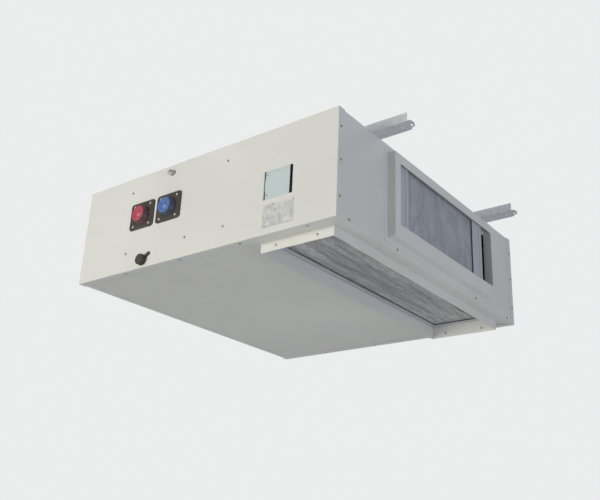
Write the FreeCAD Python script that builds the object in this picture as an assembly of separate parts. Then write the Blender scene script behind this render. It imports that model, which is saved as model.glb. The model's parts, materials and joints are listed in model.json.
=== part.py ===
import FreeCAD, Part
import math
import os

# Ducted fan coil unit for a ceiling void, in millimetres.
# X runs along the airflow, from the supply end to the return end.
# Y runs from the service side to the far side, and Z points up.
# The origin is the centre of the four hanger holes, on the plane that the hanger rails stand on.

# Casing
CASE_LENGTH = 943.0
CASE_DEPTH = 1014.0
CASE_HEIGHT = 300.0
SHEET = 1.2
FOLD_FLAT = 1.0
SIDE_RETURN = 25.0
END_RETURN = 20.0
DECK_RETURN = 22.0
LINER = 10.0
LINER_EDGE = 19.0
SEAT_GAP = 0.3
RUNNING_GAP = 2.0

# Hanger rails
HANGER_SPACING_Y = 640.0
HANGER_OVERHANG = 103.0
RAIL_INSET = 180.0
RAIL_WIDTH = 44.0
RAIL_HEIGHT = 26.0
RAIL_SHEET = 2.0
RAIL_HOLE_LINE = 26.0
RAIL_LEG_SHORT = 11.0
RAIL_CORNER = 22.0
RAIL_NOSE = 6.0
HANGER_HOLE = 10.0
LOCATING_HOLE = 6.0
LOCATING_STEP = 28.0
RAIL_BOLT = 8.0
BOLT_HEAD = 15.0
BOLT_HEAD_HEIGHT = 5.3
BOLT_SIDES = 12
RAIL_BOLT_INSET = 60.0

# Supply collar, at the supply end
SUPPLY_MARGIN_Y = 70.0
SUPPLY_MARGIN_Z = 43.0
COLLAR_SHEET = 1.5
COLLAR_FOOT = 12.0
SUPPLY_DEPTH = 28.0

# Rear return collar and its filter
REAR_COLLAR_NEAR_INSET = 229.0
REAR_COLLAR_FAR_INSET = 203.0
REAR_COLLAR_Z = 27.0
REAR_COLLAR_HEIGHT = 245.0
REAR_DEPTH = 25.0
REAR_LIP_SIDE = 27.0
REAR_LIP_TOP = 27.0
REAR_LIP_BOTTOM = 40.0
REAR_FILTER_PLAY = 12.0
REAR_FILTER_SHORT = 60.0
REAR_FILTER_THICK = 18.0
REAR_LEG_SIDE = 62.0
REAR_LEG_TOP = 25.0

# Bottom return collar and its filter
BOTTOM_COLLAR_END_INSET = 38.0
BOTTOM_COLLAR_LENGTH = 230.0
BOTTOM_COLLAR_NEAR_INSET = 47.0
BOTTOM_COLLAR_FAR_INSET = 59.0
BOTTOM_DEPTH = 25.0
BOTTOM_COLLAR_RISE = 34.0
BOTTOM_LEDGE = 12.0
BOTTOM_FILTER_THICK = 18.0
BOTTOM_LEG = 16.0
FILTER_LIP = 1.0
FILTER_GRIP = 10.0
MESH_THICK = 8.0
PLEAT_PITCH = 16.0
PLEAT_DEPTH = 1.6

# Coil
COIL_X = 245.0
COIL_LENGTH = 130.0
COIL_END = 75.0
COIL_PLATE = 1.5
COIL_PLATE_FLANGE = 12.0
FIN_PITCH = 54.0
FIN_GAP = 24.0
FIN_GROOVE = 4.0
COIL_TOP_GAP = 6.0
TUBE_RADIUS = 5.0
TUBE_FLATS = 6
BEND_STEPS = 3
BEND_LEG = 3.0
TUBE_ROW_COUNT = 6
TUBE_COLUMN_COUNT = 4
HEADER_RADIUS = 14.0
HEADER_SIDES = 16
HEADER_Y = 42.0
HEADER_TOP = 280.0
FEEDER_COUNT = 3
FEEDER_RADIUS = 5.0

# Water connections on the service side
FLOW_X = 253.0
RETURN_X = 361.0
CONNECTION_Z = 166.0
STUB_RADIUS = 17.0
STUB_WALL = 3.0
STUB_REACH = 12.0
STUB_SIDES = 24
HOLE_SIDES = 24
FLANGE_PLATE_X = 96.0
FLANGE_PLATE_Z = 84.0
FLANGE_PLATE = 3.0
FLANGE_CORNER = 9.0
FLANGE_SCREW_X = 64.0
FLANGE_SCREW_Z = 62.0
CAP_BASE = 30.0
CAP_FACE = 23.5
CAP_HEIGHT = 17.0
CAP_WALL = 2.5
CAP_DISH = 10.0
CAP_DISH_DEPTH = 1.5
CAP_SIDES = 24
PIPE_CLEARANCE = 2.0

# Air vent
VENT_X = 361.0
VENT_Z = 273.0
VENT_RADIUS = 9.0
VENT_LENGTH = 12.0
VENT_SCREW_RADIUS = 5.0
VENT_SCREW_LENGTH = 4.0
VENT_SHANK = 2.5
VENT_BORE_GAP = 0.05
VENT_TUBE = 4.0
VENT_SIDES = 16

# Condensate pan and its outlet
PAN_X = 225.0
PAN_LENGTH = 175.0
PAN_INSET = 26.0
PAN_HEIGHT = 30.0
PAN_WALL = 1.5
DRAIN_X = 275.0
DRAIN_Z = 22.0
DRAIN_RADIUS = 9.0
DRAIN_WALL = 1.5
DRAIN_REACH = 11.0
DRAIN_SIDES = 20
DRAIN_CAP_RADIUS = 16.0
DRAIN_CAP_LENGTH = 14.0
DRAIN_CAP_WALL = 2.0
TAB_ROOT = 10.5
TAB_REACH = 30.0
TAB_WIDTH = 9.0
TAB_THICK = 3.5
TAB_RISE_ANGLE = 33.0
TAB_SIDES = 12

# Fan deck, scrolls and wheels
DECK_X = 520.0
DECK_SHEET = 1.5
FAN_X = 640.0
FAN_Z = 154.0
FAN_FROM_SIDE = 250.0
SCROLL_WIDTH = 220.0
SCROLL_SHEET = 1.0
SCROLL_CUTOFF = 88.0
SCROLL_GROWTH = 34.0
CUTOFF_ANGLE = 160.0
SCROLL_TOP_ANGLE = 450.0
SCROLL_FLATS = 20
INLET_RADIUS = 63.0
INLET_RING_WIDTH = 9.0
INLET_RING_HEIGHT = 10.0
INLET_THROAT = 58.0
INLET_SIDES = 20
WHEEL_RADIUS = 80.0
WHEEL_BORE = 65.0
WHEEL_WIDTH = 196.0
WHEEL_PLATE = 2.0
BLADE_COUNT = 24
BLADE_THICK = 1.2
BLADE_SWEEP = 11.0
BLADE_FLATS = 2
END_RING = 5.0
END_RING_HEIGHT = 4.0
HUB_RADIUS = 20.0
HUB_LENGTH = 34.0
HUB_SIDES = 16
SHAFT_RADIUS = 6.0
SHAFT_OVERRUN = 26.0
BORE_GAP = 0.05

# Motor
MOTOR_RADIUS = 62.0
MOTOR_WALL = 3.0
MOTOR_LENGTH = 130.0
MOTOR_SIDES = 24
END_CAP_LENGTH = 16.0
BEARING_BOSS = 17.0
BEARING_BOSS_LENGTH = 12.0
STATOR_BORE = 36.4
STATOR_SLOTS = 24
STATOR_LENGTH = 70.0
ROTOR_RADIUS = 35.4
ROTOR_LENGTH = 74.0
CRADLE_SHEET = 2.5
CRADLE_SPACING = 84.0
CRADLE_DROP = 76.0
CRADLE_WIDTH = 30.0
STRAP_WIDTH = 20.0
STRAP_THICK = 1.5
STRAP_EAR = 14.0

# Electrics behind the flap
BOX_FROM_END = 243.0
BOX_LENGTH = 130.0
BOX_Z = 86.0
BOX_HEIGHT = 104.0
BOX_DEPTH = 72.0
BOX_RIM = 10.0
TERMINAL_LENGTH = 84.0
TERMINAL_HEIGHT = 22.0
TERMINAL_DEPTH = 18.0
TERMINAL_COUNT = 8
TERMINAL_STEP = 6.0
TERMINAL_SLOT = 5.0
CAPACITOR_RADIUS = 17.5
CAPACITOR_LENGTH = 70.0
CAPACITOR_CHAMFER = 2.0
CAPACITOR_SIDES = 20

# Flap
FLAP_FROM_END = 229.6
FLAP_OPENING_LENGTH = 92.6
FLAP_OPENING_Z = 97.0
FLAP_OPENING_HEIGHT = 80.0
FLAP_LENGTH = 80.0
FLAP_MARGIN = 1.5
FLAP_INSET = 0.2
KNUCKLE_RADIUS = 2.6
KNUCKLE_SETBACK = 3.0
PIN_RADIUS = 1.2
PIN_GAP = 0.05
KNUCKLE_SHARE = 22.0
KNUCKLE_GAP = 0.4
KNUCKLE_SIDES = 12
HINGE_LEAF = 10.0
HINGE_SHEET = 1.0

# Fasteners
SCREW_RADIUS = 3.6
SCREW_HEIGHT = 1.8
SCREW_CROWN = 0.9
SCREW_FLATS = 6
SIDE_SCREW_INSET = 12.0
SIDE_SCREW_HEIGHTS = (56.0, 154.0, 247.0)
EDGE_SCREW_START = 197.0
EDGE_SCREW_PITCH = 218.0
EDGE_SCREW_COUNT = 4
END_SCREW_INSETS = (55.0, 279.0)
END_SCREW_Z = 10.0
FACE_SCREWS_HIGH = (200.0, 579.0)
FACE_SCREWS_LOW = (200.0, 438.0, 578.0)
FACE_SCREW_TOP = 250.0
FACE_SCREW_FOOT = 56.0
COLLAR_SCREW_SPAN = 130.0
COLLAR_SCREW_DROP = 12.0

# Places worked out from the sizes above
NEAR = -(RAIL_INSET + HANGER_SPACING_Y / 2)
FAR = NEAR + CASE_DEPTH
SUPPLY = -CASE_LENGTH / 2
RETURN = CASE_LENGTH / 2
TOP = SHEET
BOTTOM = TOP - CASE_HEIGHT
NEAR_FACE = NEAR + SHEET
FAR_FACE = FAR - SHEET
END_PLANE = RETURN - SHEET
SUPPLY_PLANE = SUPPLY + SHEET
FLOOR = BOTTOM + 3 * SHEET
CEILING = TOP - 3 * SHEET
LINED_FLOOR = FLOOR + LINER
LINED_CEILING = CEILING - LINER
BOX_X = CASE_LENGTH - BOX_FROM_END
FLAP_OPENING_X = CASE_LENGTH - FLAP_FROM_END
MIDDLE_Y = (NEAR + FAR) / 2
FAN_CENTRE = FreeCAD.Vector(SUPPLY + FAN_X, 0, BOTTOM + FAN_Z)
NEAR_FAN_Y = NEAR + FAN_FROM_SIDE
FAR_FAN_Y = FAR - FAN_FROM_SIDE
DECK_FACE = SUPPLY + DECK_X + DECK_SHEET
COIL_NEAR = NEAR + COIL_END
COIL_FAR = FAR - COIL_END
PAN_FLOOR = LINED_FLOOR + PAN_WALL
COIL_HIGH = LINED_CEILING - SEAT_GAP

ALONG_X = FreeCAD.Vector(1, 0, 0)
ALONG_Y = FreeCAD.Vector(0, 1, 0)
ALONG_Z = FreeCAD.Vector(0, 0, 1)
OPEN_ENDS = 1.0


def block(low, high):
    """A box between two corners."""
    size = [b - a for a, b in zip(low, high)]
    return Part.makeBox(*size, FreeCAD.Vector(*low))


def chosen(shape, wanted):
    """The edges that the test accepts."""
    return [edge for edge in shape.Edges if wanted(edge)]


def lies_at(axis, level):
    """A test for the edges that lie at one level of an axis."""
    return lambda edge: all(abs(vertex.Point[axis] - level) < SEAT_GAP for vertex in edge.Vertexes)


def tray(low, high, axis, side, sheet=SHEET, fold=FOLD_FLAT):
    """A sheet with its four sides folded along axis towards side (+1 or -1), and square corners."""
    face_at = low[axis] if side > 0 else high[axis]
    inner_low = [value + sheet for value in low]
    inner_high = [value - sheet for value in high]
    if side > 0:
        inner_high[axis] = high[axis]
    else:
        inner_low[axis] = low[axis]
    outer = block(low, high)
    outer = outer.makeChamfer(fold, chosen(outer, lies_at(axis, face_at)))
    return outer.cut(block(inner_low, inner_high))


def in_flats(profile, sides, place, direction):
    """Turn (radius, height) points round a place along a direction, in a number of flat sides."""
    turns = [2 * math.pi * step / sides for step in range(sides)]
    faces = []
    for (radius, height), (next_radius, next_height) in zip(profile, profile[1:] + profile[:1]):
        if not (radius or next_radius):
            continue
        for turn, next_turn in zip(turns, turns[1:] + turns[:1]):
            corners = [around(radius, turn, height), around(radius, next_turn, height)]
            corners += [around(next_radius, next_turn, next_height), around(next_radius, turn, next_height)]
            corners = corners[1:] if not radius else corners
            corners = corners[:3] if not next_radius else corners
            faces.append(Part.Face(Part.makePolygon(corners + corners[:1])))
    shell = Part.makeShell(faces)
    shell.sewShape()
    solid = Part.makeSolid(shell)
    if solid.Volume < 0:
        solid.reverse()
    solid.Placement = FreeCAD.Placement(place, FreeCAD.Rotation(ALONG_Z, direction))
    return solid


def around(radius, turn, height):
    """A point at a turn round the Z axis."""
    return FreeCAD.Vector(radius * math.cos(turn), radius * math.sin(turn), height)


def clear_of(radius, sides):
    """The corner radius of a flat-sided hole whose flats just clear a round."""
    return radius / math.cos(math.pi / sides)


def hole_for(radius, gap, sides, place, direction, length):
    """What is cut away for a flat-sided hole round a bar."""
    return flat_sided(clear_of(radius + gap, sides), sides, place, direction, length)


def rod(radius, place, direction, length):
    """A round bar."""
    return Part.makeCylinder(radius, length, place, direction)


def polygon(radius, sides, height=0):
    """A closed regular outline, with its corners on a circle."""
    points = [around(radius, 2 * math.pi * step / sides, height) for step in range(sides)]
    return Part.makePolygon(points + points[:1])


def flat_sided(radius, sides, place, direction, length, end_radius=None):
    """A bar with flat sides, tapering to its end radius."""
    far_radius = radius if end_radius is None else end_radius
    solid = Part.makeLoft([polygon(radius, sides), polygon(far_radius, sides, length)], True, True)
    solid.Placement = FreeCAD.Placement(place, FreeCAD.Rotation(ALONG_Z, direction))
    return solid


def screw(place, direction):
    """The domed head of a self-tapping screw, seated on the sheet that it forms its own hole in."""
    return flat_sided(SCREW_RADIUS, SCREW_FLATS, place, direction, SCREW_HEIGHT, SCREW_RADIUS - SCREW_CROWN)


def group(solids):
    """Separate solids that share one node."""
    return Part.makeCompound(solids)


def at(x, y, z):
    """A point given from the supply end, the service side and the bottom of the casing."""
    return FreeCAD.Vector(SUPPLY + x, NEAR + y, BOTTOM + z)


def connection_places():
    """The points where the two water pipes leave the service side."""
    return [at(FLOW_X, 0, CONNECTION_Z), at(RETURN_X, 0, CONNECTION_Z)]


def service_cuts():
    """What passes through the service panel and the liner behind it."""
    cuts = []
    for place in connection_places():
        start = place - ALONG_Y * OPEN_ENDS
        cuts.append(hole_for(STUB_RADIUS, PIPE_CLEARANCE, HOLE_SIDES, start, ALONG_Y, SIDE_RETURN))
    cuts += [vent_hole(-OPEN_ENDS), drain_hole(-OPEN_ENDS)]
    low = at(FLAP_OPENING_X, -OPEN_ENDS, FLAP_OPENING_Z)
    high = at(FLAP_OPENING_X + FLAP_OPENING_LENGTH, SHEET + OPEN_ENDS, FLAP_OPENING_Z + FLAP_OPENING_HEIGHT)
    cuts.append(block(low, high))
    return cuts


def vent_hole(y):
    """The hole for the vent's tube, from a distance behind the service side."""
    return hole_for(VENT_TUBE, SEAT_GAP, VENT_SIDES, at(VENT_X, y, VENT_Z), ALONG_Y, SIDE_RETURN)


def drain_hole(y):
    """The hole for the condensate spout, from a distance behind the service side."""
    return hole_for(DRAIN_RADIUS, SEAT_GAP, DRAIN_SIDES, at(DRAIN_X, y, DRAIN_Z), ALONG_Y, SIDE_RETURN)


def service_panel():
    """Painted side panel with the pipe, vent, drain and flap openings."""
    low = (SUPPLY, NEAR, BOTTOM)
    high = (RETURN, NEAR + SIDE_RETURN, TOP)
    return tray(low, high, 1, 1).cut(service_cuts())


def far_side_panel():
    """Plain side panel."""
    low = (SUPPLY, FAR - SIDE_RETURN, BOTTOM)
    high = (RETURN, FAR, TOP)
    return tray(low, high, 1, -1)


def return_end_panel():
    """End panel with the opening behind the rear filter."""
    low = (END_PLANE - END_RETURN, NEAR_FACE, BOTTOM + SHEET)
    high = (END_PLANE, FAR_FACE, TOP - SHEET)
    opening_low = rear_inside(REAR_LIP_SIDE, REAR_LIP_BOTTOM)[0]
    opening_high = rear_inside(0, REAR_LIP_TOP)[1]
    opening_low[0] = END_PLANE - END_RETURN
    opening_high[0] = END_PLANE + OPEN_ENDS
    return tray(low, high, 0, -1).cut(block(opening_low, opening_high))


def supply_end_panel():
    """End panel with the supply opening."""
    low = (SUPPLY_PLANE, NEAR_FACE, BOTTOM + SHEET)
    high = (SUPPLY_PLANE + END_RETURN, FAR_FACE, TOP - SHEET)
    opening_low = (SUPPLY, NEAR + SUPPLY_MARGIN_Y, BOTTOM + SUPPLY_MARGIN_Z)
    opening_high = (SUPPLY + END_RETURN, FAR - SUPPLY_MARGIN_Y, TOP - SUPPLY_MARGIN_Z)
    return tray(low, high, 0, 1).cut(block(opening_low, opening_high))


def bottom_collar_box(grow, below, above):
    """Corners of the bottom collar's outline, grown sideways and given its heights."""
    far_x = CASE_LENGTH - BOTTOM_COLLAR_END_INSET
    far_y = CASE_DEPTH - BOTTOM_COLLAR_FAR_INSET
    low = at(far_x - BOTTOM_COLLAR_LENGTH - grow, BOTTOM_COLLAR_NEAR_INSET - grow, below)
    return low, at(far_x + grow, far_y + grow, above)


def bottom_panel():
    """Base tray with the opening that the bottom collar hangs in."""
    low = (SUPPLY + 2 * SHEET, NEAR + 2 * SHEET, BOTTOM + 2 * SHEET)
    high = (RETURN - 2 * SHEET, FAR - 2 * SHEET, BOTTOM + 2 * SHEET + DECK_RETURN)
    opening = block(*bottom_collar_box(SEAT_GAP, -BOTTOM_DEPTH, BOTTOM_DEPTH))
    return tray(low, high, 2, 1).cut([opening, drain_hole(-OPEN_ENDS)])


def top_panel():
    """Top tray, with the holes for the rail bolts."""
    low = (SUPPLY + 2 * SHEET, NEAR + 2 * SHEET, TOP - 2 * SHEET - DECK_RETURN)
    high = (RETURN - 2 * SHEET, FAR - 2 * SHEET, TOP - 2 * SHEET)
    return tray(low, high, 2, -1).cut(rail_bolt_holes() + [vent_hole(0)])


def side_liner(face, side):
    """Foam sheet glued to the inside of a side panel."""
    inner = face + side * LINER
    low = (SUPPLY + 2 * SHEET + END_RETURN, min(face, inner), BOTTOM + 3 * SHEET + DECK_RETURN)
    high = (RETURN - 2 * SHEET - END_RETURN, max(face, inner), TOP - 3 * SHEET - DECK_RETURN)
    return block(low, high)


def service_liner():
    """Foam on the service panel, cut round the pipes and the control box."""
    box_low = at(BOX_X - BOX_RIM - SEAT_GAP, 0, BOX_Z - BOX_RIM - SEAT_GAP)
    box_high = at(BOX_X + BOX_LENGTH + BOX_RIM + SEAT_GAP, SIDE_RETURN, BOX_Z + BOX_HEIGHT + BOX_RIM + SEAT_GAP)
    return side_liner(NEAR_FACE, 1).cut(service_cuts() + [block(box_low, box_high)])


def far_liner():
    """Foam on the far side panel."""
    return side_liner(FAR_FACE, -1)


def floor_liner():
    """Foam on the base, from the supply end to the bottom collar."""
    low = (SUPPLY + 2 * SHEET + END_RETURN, NEAR + LINER_EDGE, FLOOR)
    high = (bottom_collar_box(LINER_EDGE, 0, 0)[0].x, FAR - LINER_EDGE, LINED_FLOOR)
    return block(low, high).cut(drain_hole(PAN_INSET + PAN_WALL - SIDE_RETURN))


def ceiling_liner():
    """Foam under the top panel."""
    low = (SUPPLY + 2 * SHEET + END_RETURN, NEAR + LINER_EDGE, LINED_CEILING)
    high = (RETURN - 2 * SHEET - END_RETURN, FAR - LINER_EDGE, CEILING)
    return block(low, high)


def rail_middles():
    """Y of the middle of each hanger rail."""
    return [-HANGER_SPACING_Y / 2, HANGER_SPACING_Y / 2]


def rail_bolt_places():
    """Where the rail bolts go through the top panel."""
    reach = CASE_LENGTH / 2 - RAIL_BOLT_INSET
    return [FreeCAD.Vector(side * reach, y, 0) for y in rail_middles() for side in (-1, 1)]


def rail_bolt_holes():
    """Clearance holes for the rail bolts, through the rails and the top panel."""
    starts = [place + ALONG_Z * CEILING for place in rail_bolt_places()]
    length = RAIL_SHEET - CEILING
    return [hole_for(RAIL_BOLT / 2, SEAT_GAP, BOLT_SIDES, start, ALONG_Z, length) for start in starts]


def hanger_rail(y):
    """Angle with its upright leg on the service side, and a drilled nose with one cut corner at each end."""
    half = CASE_LENGTH / 2 + HANGER_OVERHANG
    tip = half + HANGER_HOLE
    low_y = y - RAIL_HOLE_LINE
    high_y = low_y + RAIL_WIDTH
    flange = block((-tip, low_y, 0), (tip, high_y, RAIL_SHEET))
    for corner_y, size in ((high_y, RAIL_CORNER), (low_y, RAIL_NOSE)):
        corners = [edge for edge in chosen(flange, is_upright) if abs(edge.Vertexes[0].Point.y - corner_y) < SEAT_GAP]
        flange = flange.makeChamfer(size, corners)
    leg_end = tip - RAIL_LEG_SHORT
    leg = block((-leg_end, low_y, 0), (leg_end, low_y + RAIL_SHEET, RAIL_HEIGHT))
    holes = rail_bolt_holes()
    for side in (-1, 1):
        hanger = FreeCAD.Vector(side * half, y, 0)
        locating = FreeCAD.Vector(side * (half - LOCATING_STEP), y, 0)
        holes.append(rod(HANGER_HOLE / 2, hanger, ALONG_Z, RAIL_SHEET))
        holes.append(hole_for(LOCATING_HOLE / 2, 0, BOLT_SIDES, locating, ALONG_Z, RAIL_SHEET))
    return flange.fuse(leg).cut(holes).removeSplitter()


def is_upright(edge):
    """True for a straight edge that runs along Z."""
    first, last = edge.Vertexes[0].Point, edge.Vertexes[-1].Point
    return abs(first.x - last.x) < SEAT_GAP and abs(first.y - last.y) < SEAT_GAP


def rail_bolts():
    """Hexagon bolts that clamp the rails to the top panel, heads inside the rails."""
    bolts = []
    for place in rail_bolt_places():
        head = flat_sided(BOLT_HEAD / 2, 6, place + ALONG_Z * RAIL_SHEET, ALONG_Z, BOLT_HEAD_HEIGHT)
        shank = flat_sided(RAIL_BOLT / 2, BOLT_SIDES, place + ALONG_Z * CEILING, ALONG_Z, RAIL_SHEET - CEILING)
        bolts.append(head.fuse(shank))
    return group(bolts)


def collar(low, high, axis, foot_at, foot_side, foot=COLLAR_FOOT, wall=COLLAR_SHEET):
    """A rectangular sleeve along axis, with a foot flange on its outside."""
    inner_low = [value + wall for value in low]
    inner_high = [value - wall for value in high]
    inner_low[axis] = low[axis] - OPEN_ENDS
    inner_high[axis] = high[axis] + OPEN_ENDS
    foot_low = [value - foot for value in low]
    foot_high = [value + foot for value in high]
    foot_low[axis] = min(foot_at, foot_at + foot_side * SHEET)
    foot_high[axis] = max(foot_at, foot_at + foot_side * SHEET)
    flange = block(foot_low, foot_high)
    return block(low, high).fuse(flange).cut(block(inner_low, inner_high)).removeSplitter()


def supply_collar():
    """Sleeve that the supply duct is fixed over."""
    low = (SUPPLY_PLANE - SUPPLY_DEPTH, NEAR + SUPPLY_MARGIN_Y, BOTTOM + SUPPLY_MARGIN_Z)
    high = (SUPPLY_PLANE, FAR - SUPPLY_MARGIN_Y, TOP - SUPPLY_MARGIN_Z)
    return collar(low, high, 0, SUPPLY_PLANE, -1)


def rear_outline():
    """Outer corners of the rear return collar."""
    low = [END_PLANE, NEAR + REAR_COLLAR_NEAR_INSET, BOTTOM + REAR_COLLAR_Z]
    high = [END_PLANE + REAR_DEPTH, FAR - REAR_COLLAR_FAR_INSET, low[2] + REAR_COLLAR_HEIGHT]
    return low, high


def rear_inside(side_inset, end_inset):
    """Corners inside the rear collar's walls, moved in by a side and an upright inset."""
    low, high = rear_outline()
    low = [low[0], low[1] + COLLAR_SHEET + side_inset, low[2] + COLLAR_SHEET + end_inset]
    high = [high[0], high[1] - COLLAR_SHEET - side_inset, high[2] - COLLAR_SHEET - end_inset]
    return low, high


def rear_collar():
    """Return collar with lips on three sides, which hold the filter in."""
    low, high = rear_outline()
    sleeve = collar(low, high, 0, END_PLANE, 1)
    plate_low = (high[0] - COLLAR_SHEET, low[1], low[2])
    window_low = rear_inside(REAR_LIP_SIDE - COLLAR_SHEET, REAR_LIP_BOTTOM - COLLAR_SHEET)[0]
    window_high = rear_inside(0, REAR_LIP_TOP - COLLAR_SHEET)[1]
    window_high[0] = high[0] + OPEN_ENDS
    lips = block(plate_low, high).cut(block(window_low, window_high))
    return sleeve.fuse(lips).removeSplitter()


def bottom_collar():
    """Return collar that hangs in the base, with a ledge above the filter."""
    low, high = bottom_collar_box(0, -BOTTOM_DEPTH, BOTTOM_COLLAR_RISE)
    sleeve = collar(low, high, 2, FLOOR, 1)
    ledge_low = low + ALONG_Z * (BOTTOM_DEPTH + BOTTOM_COLLAR_RISE - SHEET)
    inset = FreeCAD.Vector(BOTTOM_LEDGE, BOTTOM_LEDGE, 0)
    window = block(ledge_low + inset - ALONG_Z, high - inset + ALONG_Z)
    return sleeve.fuse(block(ledge_low, high).cut(window)).removeSplitter()


def frame_ring(low, high, axis, leg_a, leg_b):
    """A channel-section filter frame, with a window and a groove that holds the mesh."""
    across = [index for index in range(3) if index != axis]
    legs = {across[0]: leg_a, across[1]: leg_b}
    window_low, window_high = list(low), list(high)
    groove_low, groove_high = list(low), list(high)
    for index, leg in legs.items():
        window_low[index] += leg
        window_high[index] -= leg
        groove_low[index] = window_low[index] - FILTER_GRIP
        groove_high[index] = window_high[index] + FILTER_GRIP
    window_low[axis] -= OPEN_ENDS
    window_high[axis] += OPEN_ENDS
    groove_low[axis] += FILTER_LIP
    groove_high[axis] -= FILTER_LIP
    return block(low, high).cut([block(window_low, window_high), block(groove_low, groove_high)])


def rear_filter_box():
    """Outer corners of the rear filter."""
    low, high = rear_inside(SEAT_GAP, SEAT_GAP)
    low[0] = END_PLANE + RUNNING_GAP
    low[1] += REAR_FILTER_PLAY
    high[0] = low[0] + REAR_FILTER_THICK
    high[1] -= REAR_FILTER_SHORT
    return low, high


def rear_filter_frame():
    """Filter frame, shorter than its collar, with a long groove pressed in each upright leg."""
    low, high = rear_filter_box()
    frame = frame_ring(low, high, 0, REAR_LEG_SIDE, REAR_LEG_TOP)
    grooves = []
    step = REAR_LEG_SIDE / 4
    for start in (low[1] + step, high[1] - 3 * step):
        groove_low = (high[0] - FILTER_LIP, start, low[2] + step)
        groove_high = (high[0], start + 2 * step, high[2] - step)
        grooves.append(block(groove_low, groove_high))
    return frame.cut(grooves)


def pleated(low, high, thin_axis, along_axis):
    """A pad with shallow pleats on both faces, running along one axis."""
    across_axis = 3 - thin_axis - along_axis
    width = high[across_axis] - low[across_axis]
    count = max(2, round(width / PLEAT_PITCH))
    middle = (low[thin_axis] + high[thin_axis]) / 2
    half = (high[thin_axis] - low[thin_axis]) / 2

    def corner(across, thin):
        values = [0, 0, 0]
        values[across_axis] = across
        values[thin_axis] = thin
        values[along_axis] = low[along_axis]
        return FreeCAD.Vector(*values)

    upper = []
    lower = []
    for step in range(count + 1):
        across = low[across_axis] + width * step / count
        shift = PLEAT_DEPTH if step % 2 else 0
        upper.append(corner(across, middle + half - shift))
        lower.append(corner(across, middle - half + PLEAT_DEPTH - shift))
    outline = upper + lower[::-1]
    face = Part.Face(Part.makePolygon(outline + outline[:1]))
    direction = [0, 0, 0]
    direction[along_axis] = high[along_axis] - low[along_axis]
    return face.extrude(FreeCAD.Vector(*direction))


def mesh_in(box, axis, leg_a, leg_b, along_axis):
    """The wire mesh pad of a filter, its edges held in the frame's groove."""
    low, high = [list(corner) for corner in box]
    across = [index for index in range(3) if index != axis]
    for index, leg in zip(across, (leg_a, leg_b)):
        low[index] += leg - FILTER_GRIP + SEAT_GAP
        high[index] -= leg - FILTER_GRIP + SEAT_GAP
    middle = (low[axis] + high[axis]) / 2
    low[axis] = middle - MESH_THICK / 2
    high[axis] = middle + MESH_THICK / 2
    return pleated(low, high, axis, along_axis)


def rear_filter_mesh():
    """Wire mesh pad of the rear filter."""
    return mesh_in(rear_filter_box(), 0, REAR_LEG_SIDE, REAR_LEG_TOP, 2)


def bottom_filter_box():
    """Outer corners of the bottom filter, just under the collar's ledge."""
    inset = COLLAR_SHEET + RUNNING_GAP
    low, high = bottom_collar_box(-inset, 0, BOTTOM_COLLAR_RISE - SHEET - SEAT_GAP)
    low.z = high.z - BOTTOM_FILTER_THICK
    return list(low), list(high)


def bottom_filter_frame():
    """Filter frame that drops out of the bottom collar."""
    low, high = bottom_filter_box()
    return frame_ring(low, high, 2, BOTTOM_LEG, BOTTOM_LEG)


def bottom_filter_mesh():
    """Wire mesh pad of the bottom filter."""
    return mesh_in(bottom_filter_box(), 2, BOTTOM_LEG, BOTTOM_LEG, 1)


def coil_fins():
    """Fin pack between the coil plates, grooved between groups of fins on both faces."""
    low = (SUPPLY + COIL_X, COIL_NEAR + COIL_PLATE, PAN_FLOOR + COIL_TOP_GAP)
    high = (SUPPLY + COIL_X + COIL_LENGTH, COIL_FAR - COIL_PLATE, COIL_HIGH - COIL_TOP_GAP)
    pack = block(low, high)
    count = int((high[1] - low[1]) / FIN_PITCH) - 1
    spare = (high[1] - low[1]) - count * FIN_PITCH
    grooves = []
    for step in range(count + 1):
        start = low[1] + (spare - FIN_GAP) / 2 + step * FIN_PITCH
        grooves.append(block((low[0], start, low[2]), (low[0] + FIN_GROOVE, start + FIN_GAP, high[2])))
        grooves.append(block((high[0] - FIN_GROOVE, start, low[2]), (high[0], start + FIN_GAP, high[2])))
    return pack.cut(grooves)


def coil_plate(inner, side):
    """Folded end plate of the coil, standing in the pan."""
    low = [SUPPLY + COIL_X, inner, PAN_FLOOR]
    high = [SUPPLY + COIL_X + COIL_LENGTH, inner, COIL_HIGH]
    depth = COIL_PLATE_FLANGE
    if side > 0:
        high[1] = inner + depth
    else:
        low[1] = inner - depth
    return tray(low, high, 1, side, COIL_PLATE)


def tube_place(column, row, y):
    """Centre of a coil tube where it meets a coil plate."""
    x = SUPPLY + COIL_X + COIL_LENGTH * (column + 0.5) / TUBE_COLUMN_COUNT
    height = COIL_HIGH - PAN_FLOOR
    z = PAN_FLOOR + height * (row + 0.5) / TUBE_ROW_COUNT
    return FreeCAD.Vector(x, y, z)


def return_bend(start, end, outward):
    """A half-circle bend between two tubes, in short flats."""
    half = (end - start) * 0.5
    middle = start + half
    turns = [math.pi * step / BEND_STEPS for step in range(BEND_STEPS + 1)]
    rises = [BEND_LEG + half.Length * math.sin(turn) for turn in turns]
    points = [middle - half * math.cos(turn) + outward * rise for turn, rise in zip(turns, rises)]
    points = [start] + points + [end]
    profile = polygon(TUBE_RADIUS, TUBE_FLATS)
    profile.Placement = FreeCAD.Placement(start, FreeCAD.Rotation(ALONG_Z, outward))
    return Part.makePolygon(points).makePipeShell([profile], True, False, 1)


def return_bends():
    """Copper bends that join the coil tubes outside the far coil plate."""
    face = COIL_FAR
    bends = []
    for row in range(TUBE_ROW_COUNT):
        for column in range(0, TUBE_COLUMN_COUNT, 2):
            start = tube_place(column, row, face)
            bends.append(return_bend(start, tube_place(column + 1, row, face), ALONG_Y))
    return group(bends)


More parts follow.
